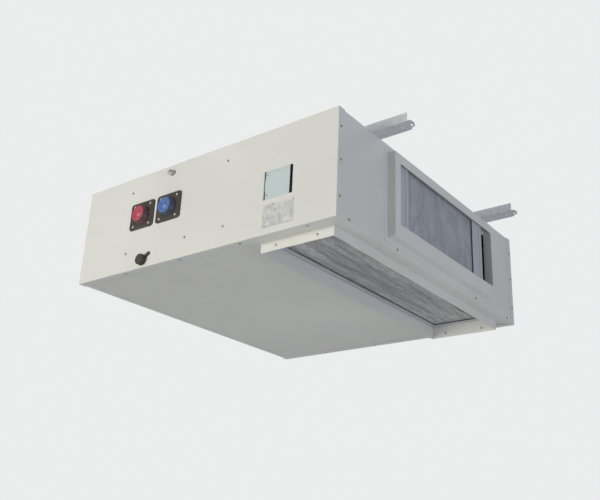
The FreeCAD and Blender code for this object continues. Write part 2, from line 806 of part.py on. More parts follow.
def header(x, feeder_column):
    """Upright copper header with its feeders to the coil and its stub through the casing."""
    low_z = PAN_FLOOR + COIL_TOP_GAP + PAN_HEIGHT
    high_z = BOTTOM + HEADER_TOP
    centre = FreeCAD.Vector(SUPPLY + x, NEAR + HEADER_Y, low_z)
    outer = [flat_sided(HEADER_RADIUS, HEADER_SIDES, centre, ALONG_Z, high_z - low_z)]
    stub_end = at(x, -FLANGE_PLATE - STUB_REACH, CONNECTION_Z)
    stub_length = HEADER_Y + FLANGE_PLATE + STUB_REACH
    outer.append(flat_sided(STUB_RADIUS, STUB_SIDES, stub_end, ALONG_Y, stub_length))
    for step in range(FEEDER_COUNT):
        place = tube_place(feeder_column, step + 2, NEAR + HEADER_Y)
        outer.append(flat_sided(FEEDER_RADIUS, TUBE_FLATS, place, ALONG_Y, COIL_NEAR - place.y))
    inside = flat_sided(STUB_RADIUS - STUB_WALL, STUB_SIDES, stub_end, ALONG_Y, stub_length - STUB_WALL)
    return outer[0].fuse(outer[1:]).cut(inside).removeSplitter()


def flow_header():
    """Header of the flow connection."""
    return header(FLOW_X, 0)


def return_header():
    """Header of the return connection."""
    return header(RETURN_X, TUBE_COLUMN_COUNT - 1)


def flange_plate(place):
    """Square rubber plate round a water connection."""
    half_x, half_z = FLANGE_PLATE_X / 2, FLANGE_PLATE_Z / 2
    low = (place.x - half_x, NEAR - FLANGE_PLATE, place.z - half_z)
    high = (place.x + half_x, NEAR, place.z + half_z)

    def across(edge):
        first, last = edge.Vertexes[0].Point, edge.Vertexes[-1].Point
        return abs(first.y - last.y) > FLANGE_PLATE / 2

    plate = block(low, high)
    plate = plate.makeFillet(FLANGE_CORNER, chosen(plate, across))
    start = place - ALONG_Y * FLANGE_PLATE
    return plate.cut(hole_for(STUB_RADIUS, SEAT_GAP, HOLE_SIDES, start, ALONG_Y, FLANGE_PLATE))


def flange_screws():
    """Four screws in each flange plate."""
    heads = []
    for place in connection_places():
        for side_x in (-1, 1):
            for side_z in (-1, 1):
                shift = FreeCAD.Vector(side_x * FLANGE_SCREW_X / 2, -FLANGE_PLATE, side_z * FLANGE_SCREW_Z / 2)
                heads.append(screw(place + shift, -ALONG_Y))
    return group(heads)


def pipe_cap(place):
    """Tapered plastic cap, bored to fit over the pipe, with a dished face."""
    sleeve = clear_of(STUB_RADIUS + SEAT_GAP, CAP_SIDES)
    profile = [
        (sleeve, 0),
        (CAP_BASE, 0),
        (CAP_FACE, CAP_HEIGHT),
        (CAP_DISH, CAP_HEIGHT),
        (CAP_DISH, CAP_HEIGHT - CAP_DISH_DEPTH),
        (0, CAP_HEIGHT - CAP_DISH_DEPTH),
        (0, CAP_HEIGHT - CAP_WALL - CAP_DISH_DEPTH),
        (sleeve, CAP_HEIGHT - CAP_WALL - CAP_DISH_DEPTH),
    ]
    return in_flats(profile, CAP_SIDES, place - ALONG_Y * (FLANGE_PLATE + SEAT_GAP), -ALONG_Y)


def air_vent_body():
    """Air vent from the return header, with a ribbed collar outside the casing."""
    place = at(VENT_X, 0, VENT_Z)
    profile = [
        (0, HEADER_RADIUS - HEADER_Y),
        (VENT_TUBE, HEADER_RADIUS - HEADER_Y),
        (VENT_TUBE, 0),
        (VENT_RADIUS, 0),
        (VENT_RADIUS, VENT_LENGTH),
        (0, VENT_LENGTH),
    ]
    body = in_flats(profile, VENT_SIDES, place, -ALONG_Y)
    bore = rod(VENT_SHANK + VENT_BORE_GAP, place - ALONG_Y * VENT_LENGTH, ALONG_Y, VENT_LENGTH / 2)
    return body.cut(bore)


def air_vent_screw():
    """Slotted bleed screw in the vent's face."""
    start = at(VENT_X, -VENT_LENGTH / 2 - SEAT_GAP, VENT_Z)
    reach = VENT_LENGTH / 2
    head = start - ALONG_Y * reach
    solid = flat_sided(VENT_SCREW_RADIUS, VENT_SIDES, head, -ALONG_Y, VENT_SCREW_LENGTH - SEAT_GAP)
    solid = solid.fuse(rod(VENT_SHANK, start, -ALONG_Y, reach))
    face_y = -(VENT_LENGTH + VENT_SCREW_LENGTH)
    low = at(VENT_X - VENT_SCREW_RADIUS, face_y - OPEN_ENDS, VENT_Z - VENT_SHANK / 4)
    high = at(VENT_X + VENT_SCREW_RADIUS, face_y + VENT_SCREW_LENGTH / 2, VENT_Z + VENT_SHANK / 4)
    return solid.cut(block(low, high))


def drain_pan():
    """Condensate pan under the coil, with its outlet through the casing."""
    low = (SUPPLY + PAN_X, NEAR + PAN_INSET, LINED_FLOOR)
    high = (SUPPLY + PAN_X + PAN_LENGTH, FAR - PAN_INSET, LINED_FLOOR + PAN_HEIGHT)
    pan = tray(low, high, 2, 1, PAN_WALL)
    start = at(DRAIN_X, -DRAIN_REACH, DRAIN_Z)
    length = DRAIN_REACH + PAN_INSET + PAN_WALL
    spout = flat_sided(DRAIN_RADIUS, DRAIN_SIDES, start, ALONG_Y, length)
    bore = flat_sided(DRAIN_RADIUS - DRAIN_WALL, DRAIN_SIDES, start, ALONG_Y, length + OPEN_ENDS)
    return pan.fuse(spout).cut(bore).removeSplitter()


def drain_cap():
    """Rubber cap over the condensate outlet, with a pull tab at its side."""
    place = at(DRAIN_X, -SEAT_GAP, DRAIN_Z)
    bore = clear_of(DRAIN_RADIUS + SEAT_GAP, DRAIN_SIDES)
    profile = [
        (bore, 0),
        (DRAIN_CAP_RADIUS, 0),
        (DRAIN_CAP_RADIUS, DRAIN_CAP_LENGTH),
        (0, DRAIN_CAP_LENGTH),
        (0, DRAIN_CAP_LENGTH - DRAIN_CAP_WALL),
        (bore, DRAIN_CAP_LENGTH - DRAIN_CAP_WALL),
    ]
    cap = in_flats(profile, DRAIN_SIDES, place, -ALONG_Y)
    half = TAB_WIDTH / 2
    bar = block((TAB_ROOT, -TAB_THICK, -half), (TAB_REACH, 0, half))
    end = flat_sided(half, TAB_SIDES, FreeCAD.Vector(TAB_REACH, 0, 0), -ALONG_Y, TAB_THICK)
    tab = bar.fuse(end)
    tab.Placement = FreeCAD.Placement(place, FreeCAD.Rotation(-ALONG_Y, TAB_RISE_ANGLE))
    return cap.fuse(tab).removeSplitter()


def fan_outlet(y, grow):
    """The rectangular mouth of a scroll where it meets the deck."""
    start = math.radians(CUTOFF_ANGLE)
    mouth_low = FAN_CENTRE.z + SCROLL_CUTOFF * math.sin(start)
    mouth_high = FAN_CENTRE.z + SCROLL_CUTOFF + SCROLL_GROWTH
    low = (DECK_FACE - END_RETURN, y - SCROLL_WIDTH / 2 - grow, mouth_low - grow)
    high = (DECK_FACE + SEAT_GAP, y + SCROLL_WIDTH / 2 + grow, mouth_high + grow)
    return block(low, high)


def fan_deck():
    """Partition between the return plenum and the coil, with the two fan outlets."""
    side = NEAR_FACE + LINER + SEAT_GAP
    low = (SUPPLY + DECK_X - END_RETURN, side, LINED_FLOOR + SEAT_GAP)
    high = (DECK_FACE, FAR_FACE - LINER - SEAT_GAP, LINED_CEILING - SEAT_GAP)
    outlets = [fan_outlet(y, -SCROLL_SHEET) for y in (NEAR_FAN_Y, FAR_FAN_Y)]
    return tray(low, high, 0, -1, DECK_SHEET).cut(outlets)


def spiral_point(turn, extra):
    """A point of the scroll's spiral, seen along the fan axis."""
    share = (turn - CUTOFF_ANGLE) / (SCROLL_TOP_ANGLE - CUTOFF_ANGLE)
    radius = SCROLL_CUTOFF + SCROLL_GROWTH * share + extra
    angle = math.radians(turn)
    return FAN_CENTRE + FreeCAD.Vector(radius * math.cos(angle), 0, radius * math.sin(angle))


def scroll_profile(extra):
    """Closed outline of a scroll: the spiral in flats, then straight to the deck and back."""
    step = (SCROLL_TOP_ANGLE - CUTOFF_ANGLE) / SCROLL_FLATS
    points = [spiral_point(CUTOFF_ANGLE + step * index, extra) for index in range(SCROLL_FLATS + 1)]
    high = FreeCAD.Vector(DECK_FACE, 0, points[-1].z)
    low = FreeCAD.Vector(DECK_FACE, 0, points[0].z)
    if extra < 0:
        high.x -= OPEN_ENDS
        low.x -= OPEN_ENDS
    return Part.Face(Part.makePolygon(points + [high, low] + points[:1]))


def scroll(y):
    """Scroll housing of one fan, with a round inlet in each side."""
    outer = scroll_profile(0)
    inner = scroll_profile(-SCROLL_SHEET)
    half = SCROLL_WIDTH / 2
    outer.translate(FreeCAD.Vector(0, y - half, 0))
    inner.translate(FreeCAD.Vector(0, y - half + SCROLL_SHEET, 0))
    shell = outer.extrude(ALONG_Y * SCROLL_WIDTH)
    hollow = inner.extrude(ALONG_Y * (SCROLL_WIDTH - 2 * SCROLL_SHEET))
    eye = FAN_CENTRE + ALONG_Y * (y - half - OPEN_ENDS)
    inlet = flat_sided(INLET_RADIUS, INLET_SIDES, eye, ALONG_Y, SCROLL_WIDTH + 2 * OPEN_ENDS)
    return shell.cut([hollow, inlet])


def inlet_ring(y, side):
    """Bell-mouth ring seated on a scroll's side and curving into its inlet."""
    face = FAN_CENTRE + ALONG_Y * (y + side * SCROLL_WIDTH / 2)
    lip = INLET_RADIUS + INLET_RING_WIDTH
    profile = [
        (lip, 0),
        (INLET_RADIUS, INLET_RING_HEIGHT / 2),
        (INLET_THROAT, -INLET_RING_HEIGHT / 2),
        (INLET_RADIUS - SCROLL_SHEET, 0),
    ]
    return in_flats(profile, INLET_SIDES, face, ALONG_Y * side)


def inlet_rings():
    """The four bell-mouth rings."""
    return group([inlet_ring(y, side) for y in (NEAR_FAN_Y, FAR_FAN_Y) for side in (-1, 1)])


def blade():
    """One forward-curved blade, pressed in short flats, drawn round the origin and extruded along Z."""
    outer = WHEEL_RADIUS - END_RING / 4
    front = []
    for step in range(BLADE_FLATS + 1):
        share = step / BLADE_FLATS
        radius = WHEEL_BORE + (outer - WHEEL_BORE) * share
        turn = math.radians(BLADE_SWEEP) * share ** 2
        front.append(FreeCAD.Vector(radius * math.cos(turn), radius * math.sin(turn), 0))
    back = [point + ALONG_Y * BLADE_THICK for point in reversed(front)]
    face = Part.Face(Part.makePolygon(front + back + front[:1]))
    face.translate(ALONG_Z * END_RING_HEIGHT)
    return face.extrude(ALONG_Z * (WHEEL_WIDTH - 2 * END_RING_HEIGHT))


def wheel_ring(height):
    """End ring of a wheel, with a flat to each blade."""
    place = ALONG_Z * height
    ring = flat_sided(WHEEL_RADIUS, BLADE_COUNT, place, ALONG_Z, END_RING_HEIGHT)
    return ring.cut(flat_sided(WHEEL_RADIUS - END_RING, BLADE_COUNT, place, ALONG_Z, END_RING_HEIGHT))


def impeller(y):
    """Double-inlet wheel: a middle plate with its hub, forward-curved blades and two end rings."""
    middle = WHEEL_WIDTH / 2
    start = FreeCAD.Vector(0, 0, middle - WHEEL_PLATE / 2)
    plate = flat_sided(clear_of(WHEEL_BORE, BLADE_COUNT), BLADE_COUNT, start, ALONG_Z, WHEEL_PLATE)
    plate.rotate(FreeCAD.Vector(), ALONG_Z, 180 / BLADE_COUNT)
    pieces = [plate]
    hub_start = FreeCAD.Vector(0, 0, middle - HUB_LENGTH / 2)
    pieces.append(flat_sided(HUB_RADIUS, HUB_SIDES, hub_start, ALONG_Z, HUB_LENGTH))
    pieces += [wheel_ring(height) for height in (0, WHEEL_WIDTH - END_RING_HEIGHT)]
    for index in range(BLADE_COUNT):
        vane = blade()
        vane.rotate(FreeCAD.Vector(), ALONG_Z, 360 * index / BLADE_COUNT)
        pieces.append(vane)
    wheel = pieces[0].fuse(pieces[1:])
    wheel = wheel.cut(rod(SHAFT_RADIUS + BORE_GAP, FreeCAD.Vector(), ALONG_Z, WHEEL_WIDTH)).removeSplitter()
    turn = FreeCAD.Rotation(ALONG_Z, ALONG_Y)
    wheel.Placement = FreeCAD.Placement(FAN_CENTRE + ALONG_Y * (y - middle), turn)
    return wheel


def fan_shaft():
    """Shaft through the motor and both wheels."""
    start_y = NEAR_FAN_Y - HUB_LENGTH / 2 - SHAFT_OVERRUN
    end_y = FAR_FAN_Y + HUB_LENGTH / 2 + SHAFT_OVERRUN
    return rod(SHAFT_RADIUS, FAN_CENTRE + ALONG_Y * start_y, ALONG_Y, end_y - start_y)


def band(inner, outer, start, width):
    """A flat-sided ring round the motor."""
    return in_flats([(inner, 0), (outer, 0), (outer, width), (inner, width)], MOTOR_SIDES, start, ALONG_Y)


def motor_shell():
    """Motor body between its end caps."""
    start = FAN_CENTRE + ALONG_Y * (MIDDLE_Y - MOTOR_LENGTH / 2)
    return band(MOTOR_RADIUS - MOTOR_WALL, MOTOR_RADIUS, start, MOTOR_LENGTH)


def motor_end_cap(side):
    """Cast end cap with its bearing boss."""
    face = FAN_CENTRE + ALONG_Y * (MIDDLE_Y + side * MOTOR_LENGTH / 2)
    length = END_CAP_LENGTH + BEARING_BOSS_LENGTH
    profile = [
        (0, 0),
        (MOTOR_RADIUS, 0),
        (MOTOR_RADIUS - END_CAP_LENGTH, END_CAP_LENGTH),
        (BEARING_BOSS, END_CAP_LENGTH),
        (BEARING_BOSS, length),
        (0, length),
    ]
    cap = in_flats(profile, MOTOR_SIDES, face, ALONG_Y * side).removeSplitter()
    return cap.cut(rod(SHAFT_RADIUS + BORE_GAP, face, ALONG_Y * side, length))


def motor_stator():
    """Wound core inside the motor body."""
    start = FAN_CENTRE + ALONG_Y * (MIDDLE_Y - STATOR_LENGTH / 2)
    outer = MOTOR_RADIUS - MOTOR_WALL - SEAT_GAP
    bore = flat_sided(STATOR_BORE, STATOR_SLOTS, start, ALONG_Y, STATOR_LENGTH)
    return flat_sided(outer, STATOR_SLOTS, start, ALONG_Y, STATOR_LENGTH).cut(bore)


def motor_rotor():
    """Rotor on the shaft."""
    start = FAN_CENTRE + ALONG_Y * (MIDDLE_Y - ROTOR_LENGTH / 2)
    bore = rod(SHAFT_RADIUS + BORE_GAP, start, ALONG_Y, ROTOR_LENGTH)
    return flat_sided(ROTOR_RADIUS, STATOR_SLOTS, start, ALONG_Y, ROTOR_LENGTH).cut(bore)


def cradle_middles():
    """Y of the two saddles of the motor cradle."""
    return [MIDDLE_Y - CRADLE_SPACING / 2, MIDDLE_Y + CRADLE_SPACING / 2]


def motor_cradle():
    """Folded bracket from the deck, with two saddles under the motor."""
    seat = MOTOR_RADIUS + SEAT_GAP
    base = FAN_CENTRE.z - CRADLE_DROP
    ends = CRADLE_SPACING / 2 + CRADLE_WIDTH / 2
    far_x = FAN_CENTRE.x + seat + STRAP_EAR
    shelf = block((DECK_FACE, MIDDLE_Y - ends, base), (far_x, MIDDLE_Y + ends, base + CRADLE_SHEET))
    back_top = base + CRADLE_DROP / 2
    back = block((DECK_FACE, MIDDLE_Y - ends, base - END_RETURN), (DECK_FACE + CRADLE_SHEET, MIDDLE_Y + ends, back_top))
    pieces = [back]
    for y in cradle_middles():
        reach = seat + STRAP_EAR
        low = (FAN_CENTRE.x - reach, y - CRADLE_SHEET / 2, base)
        high = (FAN_CENTRE.x + reach, y + CRADLE_SHEET / 2, FAN_CENTRE.z)
        pieces.append(block(low, high))
    hollow = flat_sided(seat, MOTOR_SIDES, FAN_CENTRE + ALONG_Y * (MIDDLE_Y - ends), ALONG_Y, 2 * ends)
    return shelf.fuse(pieces).cut(hollow).removeSplitter()


def motor_straps():
    """Bands over the motor, with ears on the saddles."""
    straps = []
    inner = MOTOR_RADIUS + SEAT_GAP
    outer = inner + STRAP_THICK
    for y in cradle_middles():
        start = FAN_CENTRE + ALONG_Y * (y - STRAP_WIDTH / 2)
        ring = band(inner, outer, start, STRAP_WIDTH)
        below_low = (FAN_CENTRE.x - outer, y - STRAP_WIDTH, FAN_CENTRE.z - 2 * outer)
        below_high = (FAN_CENTRE.x + outer, y + STRAP_WIDTH, FAN_CENTRE.z)
        ears = []
        for side in (-1, 1):
            ends = sorted((FAN_CENTRE.x + side * inner, FAN_CENTRE.x + side * (inner + STRAP_EAR)))
            ear_low = (ends[0], y - STRAP_WIDTH / 2, FAN_CENTRE.z)
            ears.append(block(ear_low, (ends[1], y + STRAP_WIDTH / 2, FAN_CENTRE.z + STRAP_THICK)))
        straps.append(ring.cut(block(below_low, below_high)).fuse(ears).removeSplitter())
    return group(straps)


def capacitor():
    """Run capacitor standing off the deck beside the motor."""
    place = FreeCAD.Vector(DECK_FACE, MIDDLE_Y, FAN_CENTRE.z + SCROLL_CUTOFF)
    profile = [
        (0, 0),
        (CAPACITOR_RADIUS, 0),
        (CAPACITOR_RADIUS, CAPACITOR_LENGTH - CAPACITOR_CHAMFER),
        (CAPACITOR_RADIUS - CAPACITOR_CHAMFER, CAPACITOR_LENGTH),
        (0, CAPACITOR_LENGTH),
    ]
    return in_flats(profile, CAPACITOR_SIDES, place, ALONG_X)


def control_box():
    """Sheet box behind the flap, with a rim against the service panel."""
    low = at(BOX_X, SHEET, BOX_Z)
    high = at(BOX_X + BOX_LENGTH, BOX_DEPTH, BOX_Z + BOX_HEIGHT)
    inner_low = low + FreeCAD.Vector(SHEET, -OPEN_ENDS, SHEET)
    inner_high = high - FreeCAD.Vector(SHEET, SHEET, SHEET)
    rim_low = at(BOX_X - BOX_RIM, SHEET, BOX_Z - BOX_RIM)
    rim_high = at(BOX_X + BOX_LENGTH + BOX_RIM, 2 * SHEET, BOX_Z + BOX_HEIGHT + BOX_RIM)
    return block(low, high).fuse(block(rim_low, rim_high)).cut(block(inner_low, inner_high)).removeSplitter()


def terminal_block():
    """Stepped terminal strip on the back of the control box."""
    back = BOX_DEPTH - SHEET
    low_x = BOX_X + (BOX_LENGTH - TERMINAL_LENGTH) / 2
    low_z = BOX_Z + BOX_HEIGHT / 3
    body = block(at(low_x, back - TERMINAL_DEPTH, low_z), at(low_x + TERMINAL_LENGTH, back, low_z + TERMINAL_HEIGHT))
    step_low = at(low_x, back - TERMINAL_DEPTH, low_z)
    step_high = at(low_x + TERMINAL_LENGTH, back - TERMINAL_DEPTH + TERMINAL_STEP, low_z + TERMINAL_STEP)
    cuts = [block(step_low, step_high)]
    pitch = TERMINAL_LENGTH / TERMINAL_COUNT
    for index in range(TERMINAL_COUNT):
        slot = low_x + (index + 0.5) * pitch
        slot_low = at(slot - TERMINAL_SLOT / 2, back - TERMINAL_DEPTH, low_z + 2 * TERMINAL_STEP)
        slot_high = at(slot + TERMINAL_SLOT / 2, back - TERMINAL_STEP, low_z + 2 * TERMINAL_STEP + TERMINAL_SLOT)
        cuts.append(block(slot_low, slot_high))
    return body.cut(cuts)


def hinge_axis():
    """Foot of the flap's upright hinge axis."""
    x = FLAP_OPENING_X + 1 + KNUCKLE_RADIUS
    return at(x, KNUCKLE_SETBACK, FLAP_OPENING_Z + FLAP_MARGIN)


def control_flap():
    """Hinged access flap with a rolled knuckle at the middle of its hinge edge."""
    foot = hinge_axis()
    height = FLAP_OPENING_HEIGHT - 2 * FLAP_MARGIN
    low = (foot.x, NEAR + FLAP_INSET, foot.z)
    high = (foot.x + FLAP_LENGTH, NEAR + FLAP_INSET + SHEET, foot.z + height)
    leaf = block(low, high)
    start = foot + ALONG_Z * (KNUCKLE_SHARE + KNUCKLE_GAP)
    length = height - 2 * KNUCKLE_SHARE - 2 * KNUCKLE_GAP
    knuckle = flat_sided(KNUCKLE_RADIUS, KNUCKLE_SIDES, start, ALONG_Z, length)
    bore = rod(PIN_RADIUS + PIN_GAP, foot, ALONG_Z, height)
    share = KNUCKLE_SHARE + KNUCKLE_GAP
    starts = (foot, start + ALONG_Z * length)
    relief = [hole_for(KNUCKLE_RADIUS, KNUCKLE_GAP, KNUCKLE_SIDES, place, ALONG_Z, share) for place in starts]
    return leaf.cut(relief).fuse(knuckle).cut(bore).removeSplitter()


def flap_hinge():
    """Fixed leaf inside the panel with two knuckles and the pin."""
    foot = hinge_axis()
    height = FLAP_OPENING_HEIGHT - 2 * FLAP_MARGIN
    pieces = [rod(PIN_RADIUS, foot, ALONG_Z, height)]
    for start in (foot, foot + ALONG_Z * (height - KNUCKLE_SHARE)):
        pieces.append(flat_sided(KNUCKLE_RADIUS, KNUCKLE_SIDES, start, ALONG_Z, KNUCKLE_SHARE))
        high_z = start.z + KNUCKLE_SHARE
        face = NEAR + SHEET
        edge = SUPPLY + FLAP_OPENING_X
        pieces.append(block((edge - HINGE_LEAF, face, start.z), (edge, face + HINGE_SHEET, high_z)))
        crank = face + HINGE_SHEET
        pieces.append(block((edge - HINGE_LEAF, crank, start.z), (start.x, crank + HINGE_SHEET, high_z)))
    return pieces[0].fuse(pieces[1:]).removeSplitter()


def casing_screws():
    """Screws round the edges of the casing and on the service side."""
    heads = []
    for y in (NEAR + SIDE_SCREW_INSET, FAR - SIDE_SCREW_INSET):
        for height in SIDE_SCREW_HEIGHTS:
            heads.append(screw(FreeCAD.Vector(RETURN, y, BOTTOM + height), ALONG_X))
            heads.append(screw(FreeCAD.Vector(SUPPLY, y, BOTTOM + height), -ALONG_X))
        for index in range(EDGE_SCREW_COUNT):
            x = SUPPLY + EDGE_SCREW_START + index * EDGE_SCREW_PITCH
            heads.append(screw(FreeCAD.Vector(x, y, BOTTOM), -ALONG_Z))
            heads.append(screw(FreeCAD.Vector(x, y, TOP), ALONG_Z))
    for inset in END_SCREW_INSETS:
        for y in (NEAR + inset, FAR - inset):
            heads.append(screw(FreeCAD.Vector(END_PLANE, y, BOTTOM + END_SCREW_Z), ALONG_X))
            heads.append(screw(FreeCAD.Vector(SUPPLY_PLANE, y, BOTTOM + END_SCREW_Z), -ALONG_X))
    for x in FACE_SCREWS_HIGH:
        heads.append(screw(at(x, 0, FACE_SCREW_TOP), -ALONG_Y))
    for x in FACE_SCREWS_LOW:
        heads.append(screw(at(x, 0, FACE_SCREW_FOOT), -ALONG_Y))
    return group(heads)


def collar_screws():
    """Screws through the short walls of the bottom collar."""
    heads = []
    low, high = bottom_collar_box(0, 0, 0)
    for side in (-1, 1):
        x = (low.x + high.x) / 2 + side * COLLAR_SCREW_SPAN / 2
        for y in (low.y, high.y - COLLAR_SHEET):
            heads.append(screw(FreeCAD.Vector(x, y, BOTTOM - COLLAR_SCREW_DROP), -ALONG_Y))
    return group(heads)


NODES = {
    "service_panel": service_panel,
    "far_side_panel": far_side_panel,
    "return_end_panel": return_end_panel,
    "supply_end_panel": supply_end_panel,
    "bottom_panel": bottom_panel,
    "top_panel": top_panel,
    "service_liner": service_liner,
    "far_liner": far_liner,
    "floor_liner": floor_liner,
    "ceiling_liner": ceiling_liner,
    "hanger_rail_near": lambda: hanger_rail(rail_middles()[0]),
    "hanger_rail_far": lambda: hanger_rail(rail_middles()[1]),
    "rail_bolts": rail_bolts,
    "supply_collar": supply_collar,
    "rear_collar": rear_collar,
    "bottom_collar": bottom_collar,
    "rear_filter_frame": rear_filter_frame,
    "rear_filter_mesh": rear_filter_mesh,
    "bottom_filter_frame": bottom_filter_frame,
    "bottom_filter_mesh": bottom_filter_mesh,
    "coil_fins": coil_fins,
    "coil_plate_near": lambda: coil_plate(COIL_NEAR + COIL_PLATE, -1),
    "coil_plate_far": lambda: coil_plate(COIL_FAR - COIL_PLATE, 1),
    "return_bends": return_bends,
    "flow_header": flow_header,
    "return_header": return_header,
    "flow_flange": lambda: flange_plate(connection_places()[0]),
    "return_flange": lambda: flange_plate(connection_places()[1]),
    "flange_screws": flange_screws,
    "red_cap": lambda: pipe_cap(connection_places()[0]),
    "blue_cap": lambda: pipe_cap(connection_places()[1]),
    "air_vent_body": air_vent_body,
    "air_vent_screw": air_vent_screw,
    "drain_pan": drain_pan,
    "drain_cap": drain_cap,
    "fan_deck": fan_deck,
    "scroll_near": lambda: scroll(NEAR_FAN_Y),
    "scroll_far": lambda: scroll(FAR_FAN_Y),
    "inlet_rings": inlet_rings,
    "impeller_near": lambda: impeller(NEAR_FAN_Y),
    "impeller_far": lambda: impeller(FAR_FAN_Y),
    "fan_shaft": fan_shaft,
    "motor_shell": motor_shell,
    "motor_end_cap_near": lambda: motor_end_cap(-1),
    "motor_end_cap_far": lambda: motor_end_cap(1),
    "motor_stator": motor_stator,
    "motor_rotor": motor_rotor,
    "motor_cradle": motor_cradle,
    "motor_straps": motor_straps,
    "run_capacitor": capacitor,
    "control_box": control_box,
    "terminal_block": terminal_block,
    "control_flap": control_flap,
    "flap_hinge": flap_hinge,
    "casing_screws": casing_screws,
    "collar_screws": collar_screws,
}


def main():
    os.makedirs("parts", exist_ok=True)
    for name, make in NODES.items():
        make().exportStep(os.path.join("parts", name + ".step"))


main()
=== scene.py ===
import json
import math

import bpy
from mathutils import Matrix, Vector


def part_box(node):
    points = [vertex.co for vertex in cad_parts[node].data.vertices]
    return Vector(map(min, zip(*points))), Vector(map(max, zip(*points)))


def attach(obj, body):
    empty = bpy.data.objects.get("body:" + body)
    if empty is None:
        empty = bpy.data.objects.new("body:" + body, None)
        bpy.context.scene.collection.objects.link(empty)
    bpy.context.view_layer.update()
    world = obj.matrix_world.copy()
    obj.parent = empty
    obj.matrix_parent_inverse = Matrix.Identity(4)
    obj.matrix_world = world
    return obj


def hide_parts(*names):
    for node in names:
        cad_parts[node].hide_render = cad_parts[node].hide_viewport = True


bl_info = {
    "name": "Ducted fan coil unit",
    "version": (1, 0, 0),
    "blender": (4, 5, 0),
    "location": "View3D > Sidebar > Fan coil",
    "description": "Dresses the fan coil unit with its finishes, fittings and studio",
    "category": "Object",
}

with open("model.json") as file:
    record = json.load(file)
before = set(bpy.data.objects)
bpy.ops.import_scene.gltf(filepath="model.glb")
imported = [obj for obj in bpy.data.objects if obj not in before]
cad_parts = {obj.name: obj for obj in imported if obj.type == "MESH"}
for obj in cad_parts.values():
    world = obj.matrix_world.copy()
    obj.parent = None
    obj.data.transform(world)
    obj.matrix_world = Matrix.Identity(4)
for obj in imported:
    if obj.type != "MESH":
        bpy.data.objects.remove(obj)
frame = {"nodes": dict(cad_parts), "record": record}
NODES = frame["nodes"]
FINISHES = {}
X_AXIS = Vector((1, 0, 0))
Y_AXIS = Vector((0, 1, 0))
Z_AXIS = Vector((0, 0, 1))
MM = 0.001
PIPE_BORE = 17.3 * MM
FLOOR_LEVEL = -3.6
# The camera as fitted to the photo: its lens, its place, and its axes in the shared frame.
LENS = 48.816
CAMERA_PLACE = (1.4813, -1.9160, -1.0897)
CAMERA_RIGHT = (0.79580, 0.60413, 0.04177)
CAMERA_DOWN = (-0.19516, 0.32115, -0.92670)
CAMERA_FORWARD = (-0.57326, 0.72931, 0.37347)
LIT_POINT = Vector((0, 0, -0.15))
LAMPS = (
    # Name, place, size, power, colour
    ("Key", (-3.0, -7.6, -0.7), 3.8, 372, (1.0, 0.97, 0.9)),
    ("End fill", (4.0, -0.6, -1.6), 2.0, 38, (0.78, 0.85, 1.0)),
    ("Back fill", (0.2, 3.8, 4.0), 3.0, 110, (0.97, 0.98, 1.0)),
    ("Supply fill", (-4.6, 0.8, 0.4), 2.6, 45, (0.98, 0.99, 1.0)),
)


def srgb(red, green, blue):
    """A linear colour from the 0 to 255 values of a screen colour."""
    linear = []
    for value in (red / 255, green / 255, blue / 255):
        linear.append(value / 12.92 if value <= 0.04045 else ((value + 0.055) / 1.055) ** 2.4)
    return tuple(linear) + (1.0,)


DUST = srgb(150, 145, 136)
SHARP = math.radians(40)


# Sizes and colours that a user would change.


class FanCoilSizes(bpy.types.PropertyGroup):
    """Sizes of the fittings that are modelled here."""

    wire: bpy.props.FloatProperty(
        name="Filter wire", description="Thickness of the wire in both filter grids",
        default=0.7 * MM, min=0.2 * MM, max=2 * MM, unit="LENGTH")
    cell_length: bpy.props.FloatProperty(
        name="Cell length", description="Length of one diamond of the filter grids",
        default=13 * MM, min=4 * MM, max=40 * MM, unit="LENGTH")
    cell_width: bpy.props.FloatProperty(
        name="Cell width", description="Width of one diamond of the filter grids",
        default=8 * MM, min=3 * MM, max=30 * MM, unit="LENGTH")
    fin_pitch: bpy.props.FloatProperty(
        name="Fin pitch", description="Distance from one coil fin to the next",
        default=2.6 * MM, min=1.5 * MM, max=6 * MM, unit="LENGTH")
    cap_ribs: bpy.props.IntProperty(
        name="Cap ribs", description="Grip ribs round each pipe cap", default=24, min=8, max=40)


class FanCoilColours(bpy.types.PropertyGroup):
    """Colours of the main finishes."""

    paint: bpy.props.FloatVectorProperty(
        name="Casing paint", description="Colour of the painted casing",
        default=srgb(233, 232, 225), size=4, min=0, max=1, subtype="COLOR")
    flow_cap: bpy.props.FloatVectorProperty(
        name="Flow cap", description="Colour of the cap on the flow pipe",
        default=srgb(182, 26, 58), size=4, min=0, max=1, subtype="COLOR")
    return_cap: bpy.props.FloatVectorProperty(
        name="Return cap", description="Colour of the cap on the return pipe",
        default=srgb(44, 100, 176), size=4, min=0, max=1, subtype="COLOR")
    plate: bpy.props.FloatVectorProperty(
        name="Pipe plates", description="Colour of the rubber plates round the pipes",
        default=srgb(70, 66, 56), size=4, min=0, max=1, subtype="COLOR")


# Node wiring.


def add_node(tree, kind, inputs=None, **settings):
    """Add a node and give each input a value or a link."""
    made = tree.nodes.new(kind)
    for name, value in settings.items():
        setattr(made, name, value)
    for key, value in (inputs or {}).items():
        if isinstance(value, bpy.types.NodeSocket):
            tree.links.new(value, made.inputs[key])
        else:
            made.inputs[key].default_value = value
    return made


def work_out(tree, operation, first, second, third=0.0):
    """The result of one Math node."""
    inputs = {0: first, 1: second, 2: third}
    return add_node(tree, "ShaderNodeMath", inputs, operation=operation).outputs[0]


def stretch_place(tree, place, stretch):
    """A place with each part multiplied by its share of a stretch."""
    inputs = {0: place, 1: stretch}
    return add_node(tree, "ShaderNodeVectorMath", inputs, operation="MULTIPLY").outputs[0]


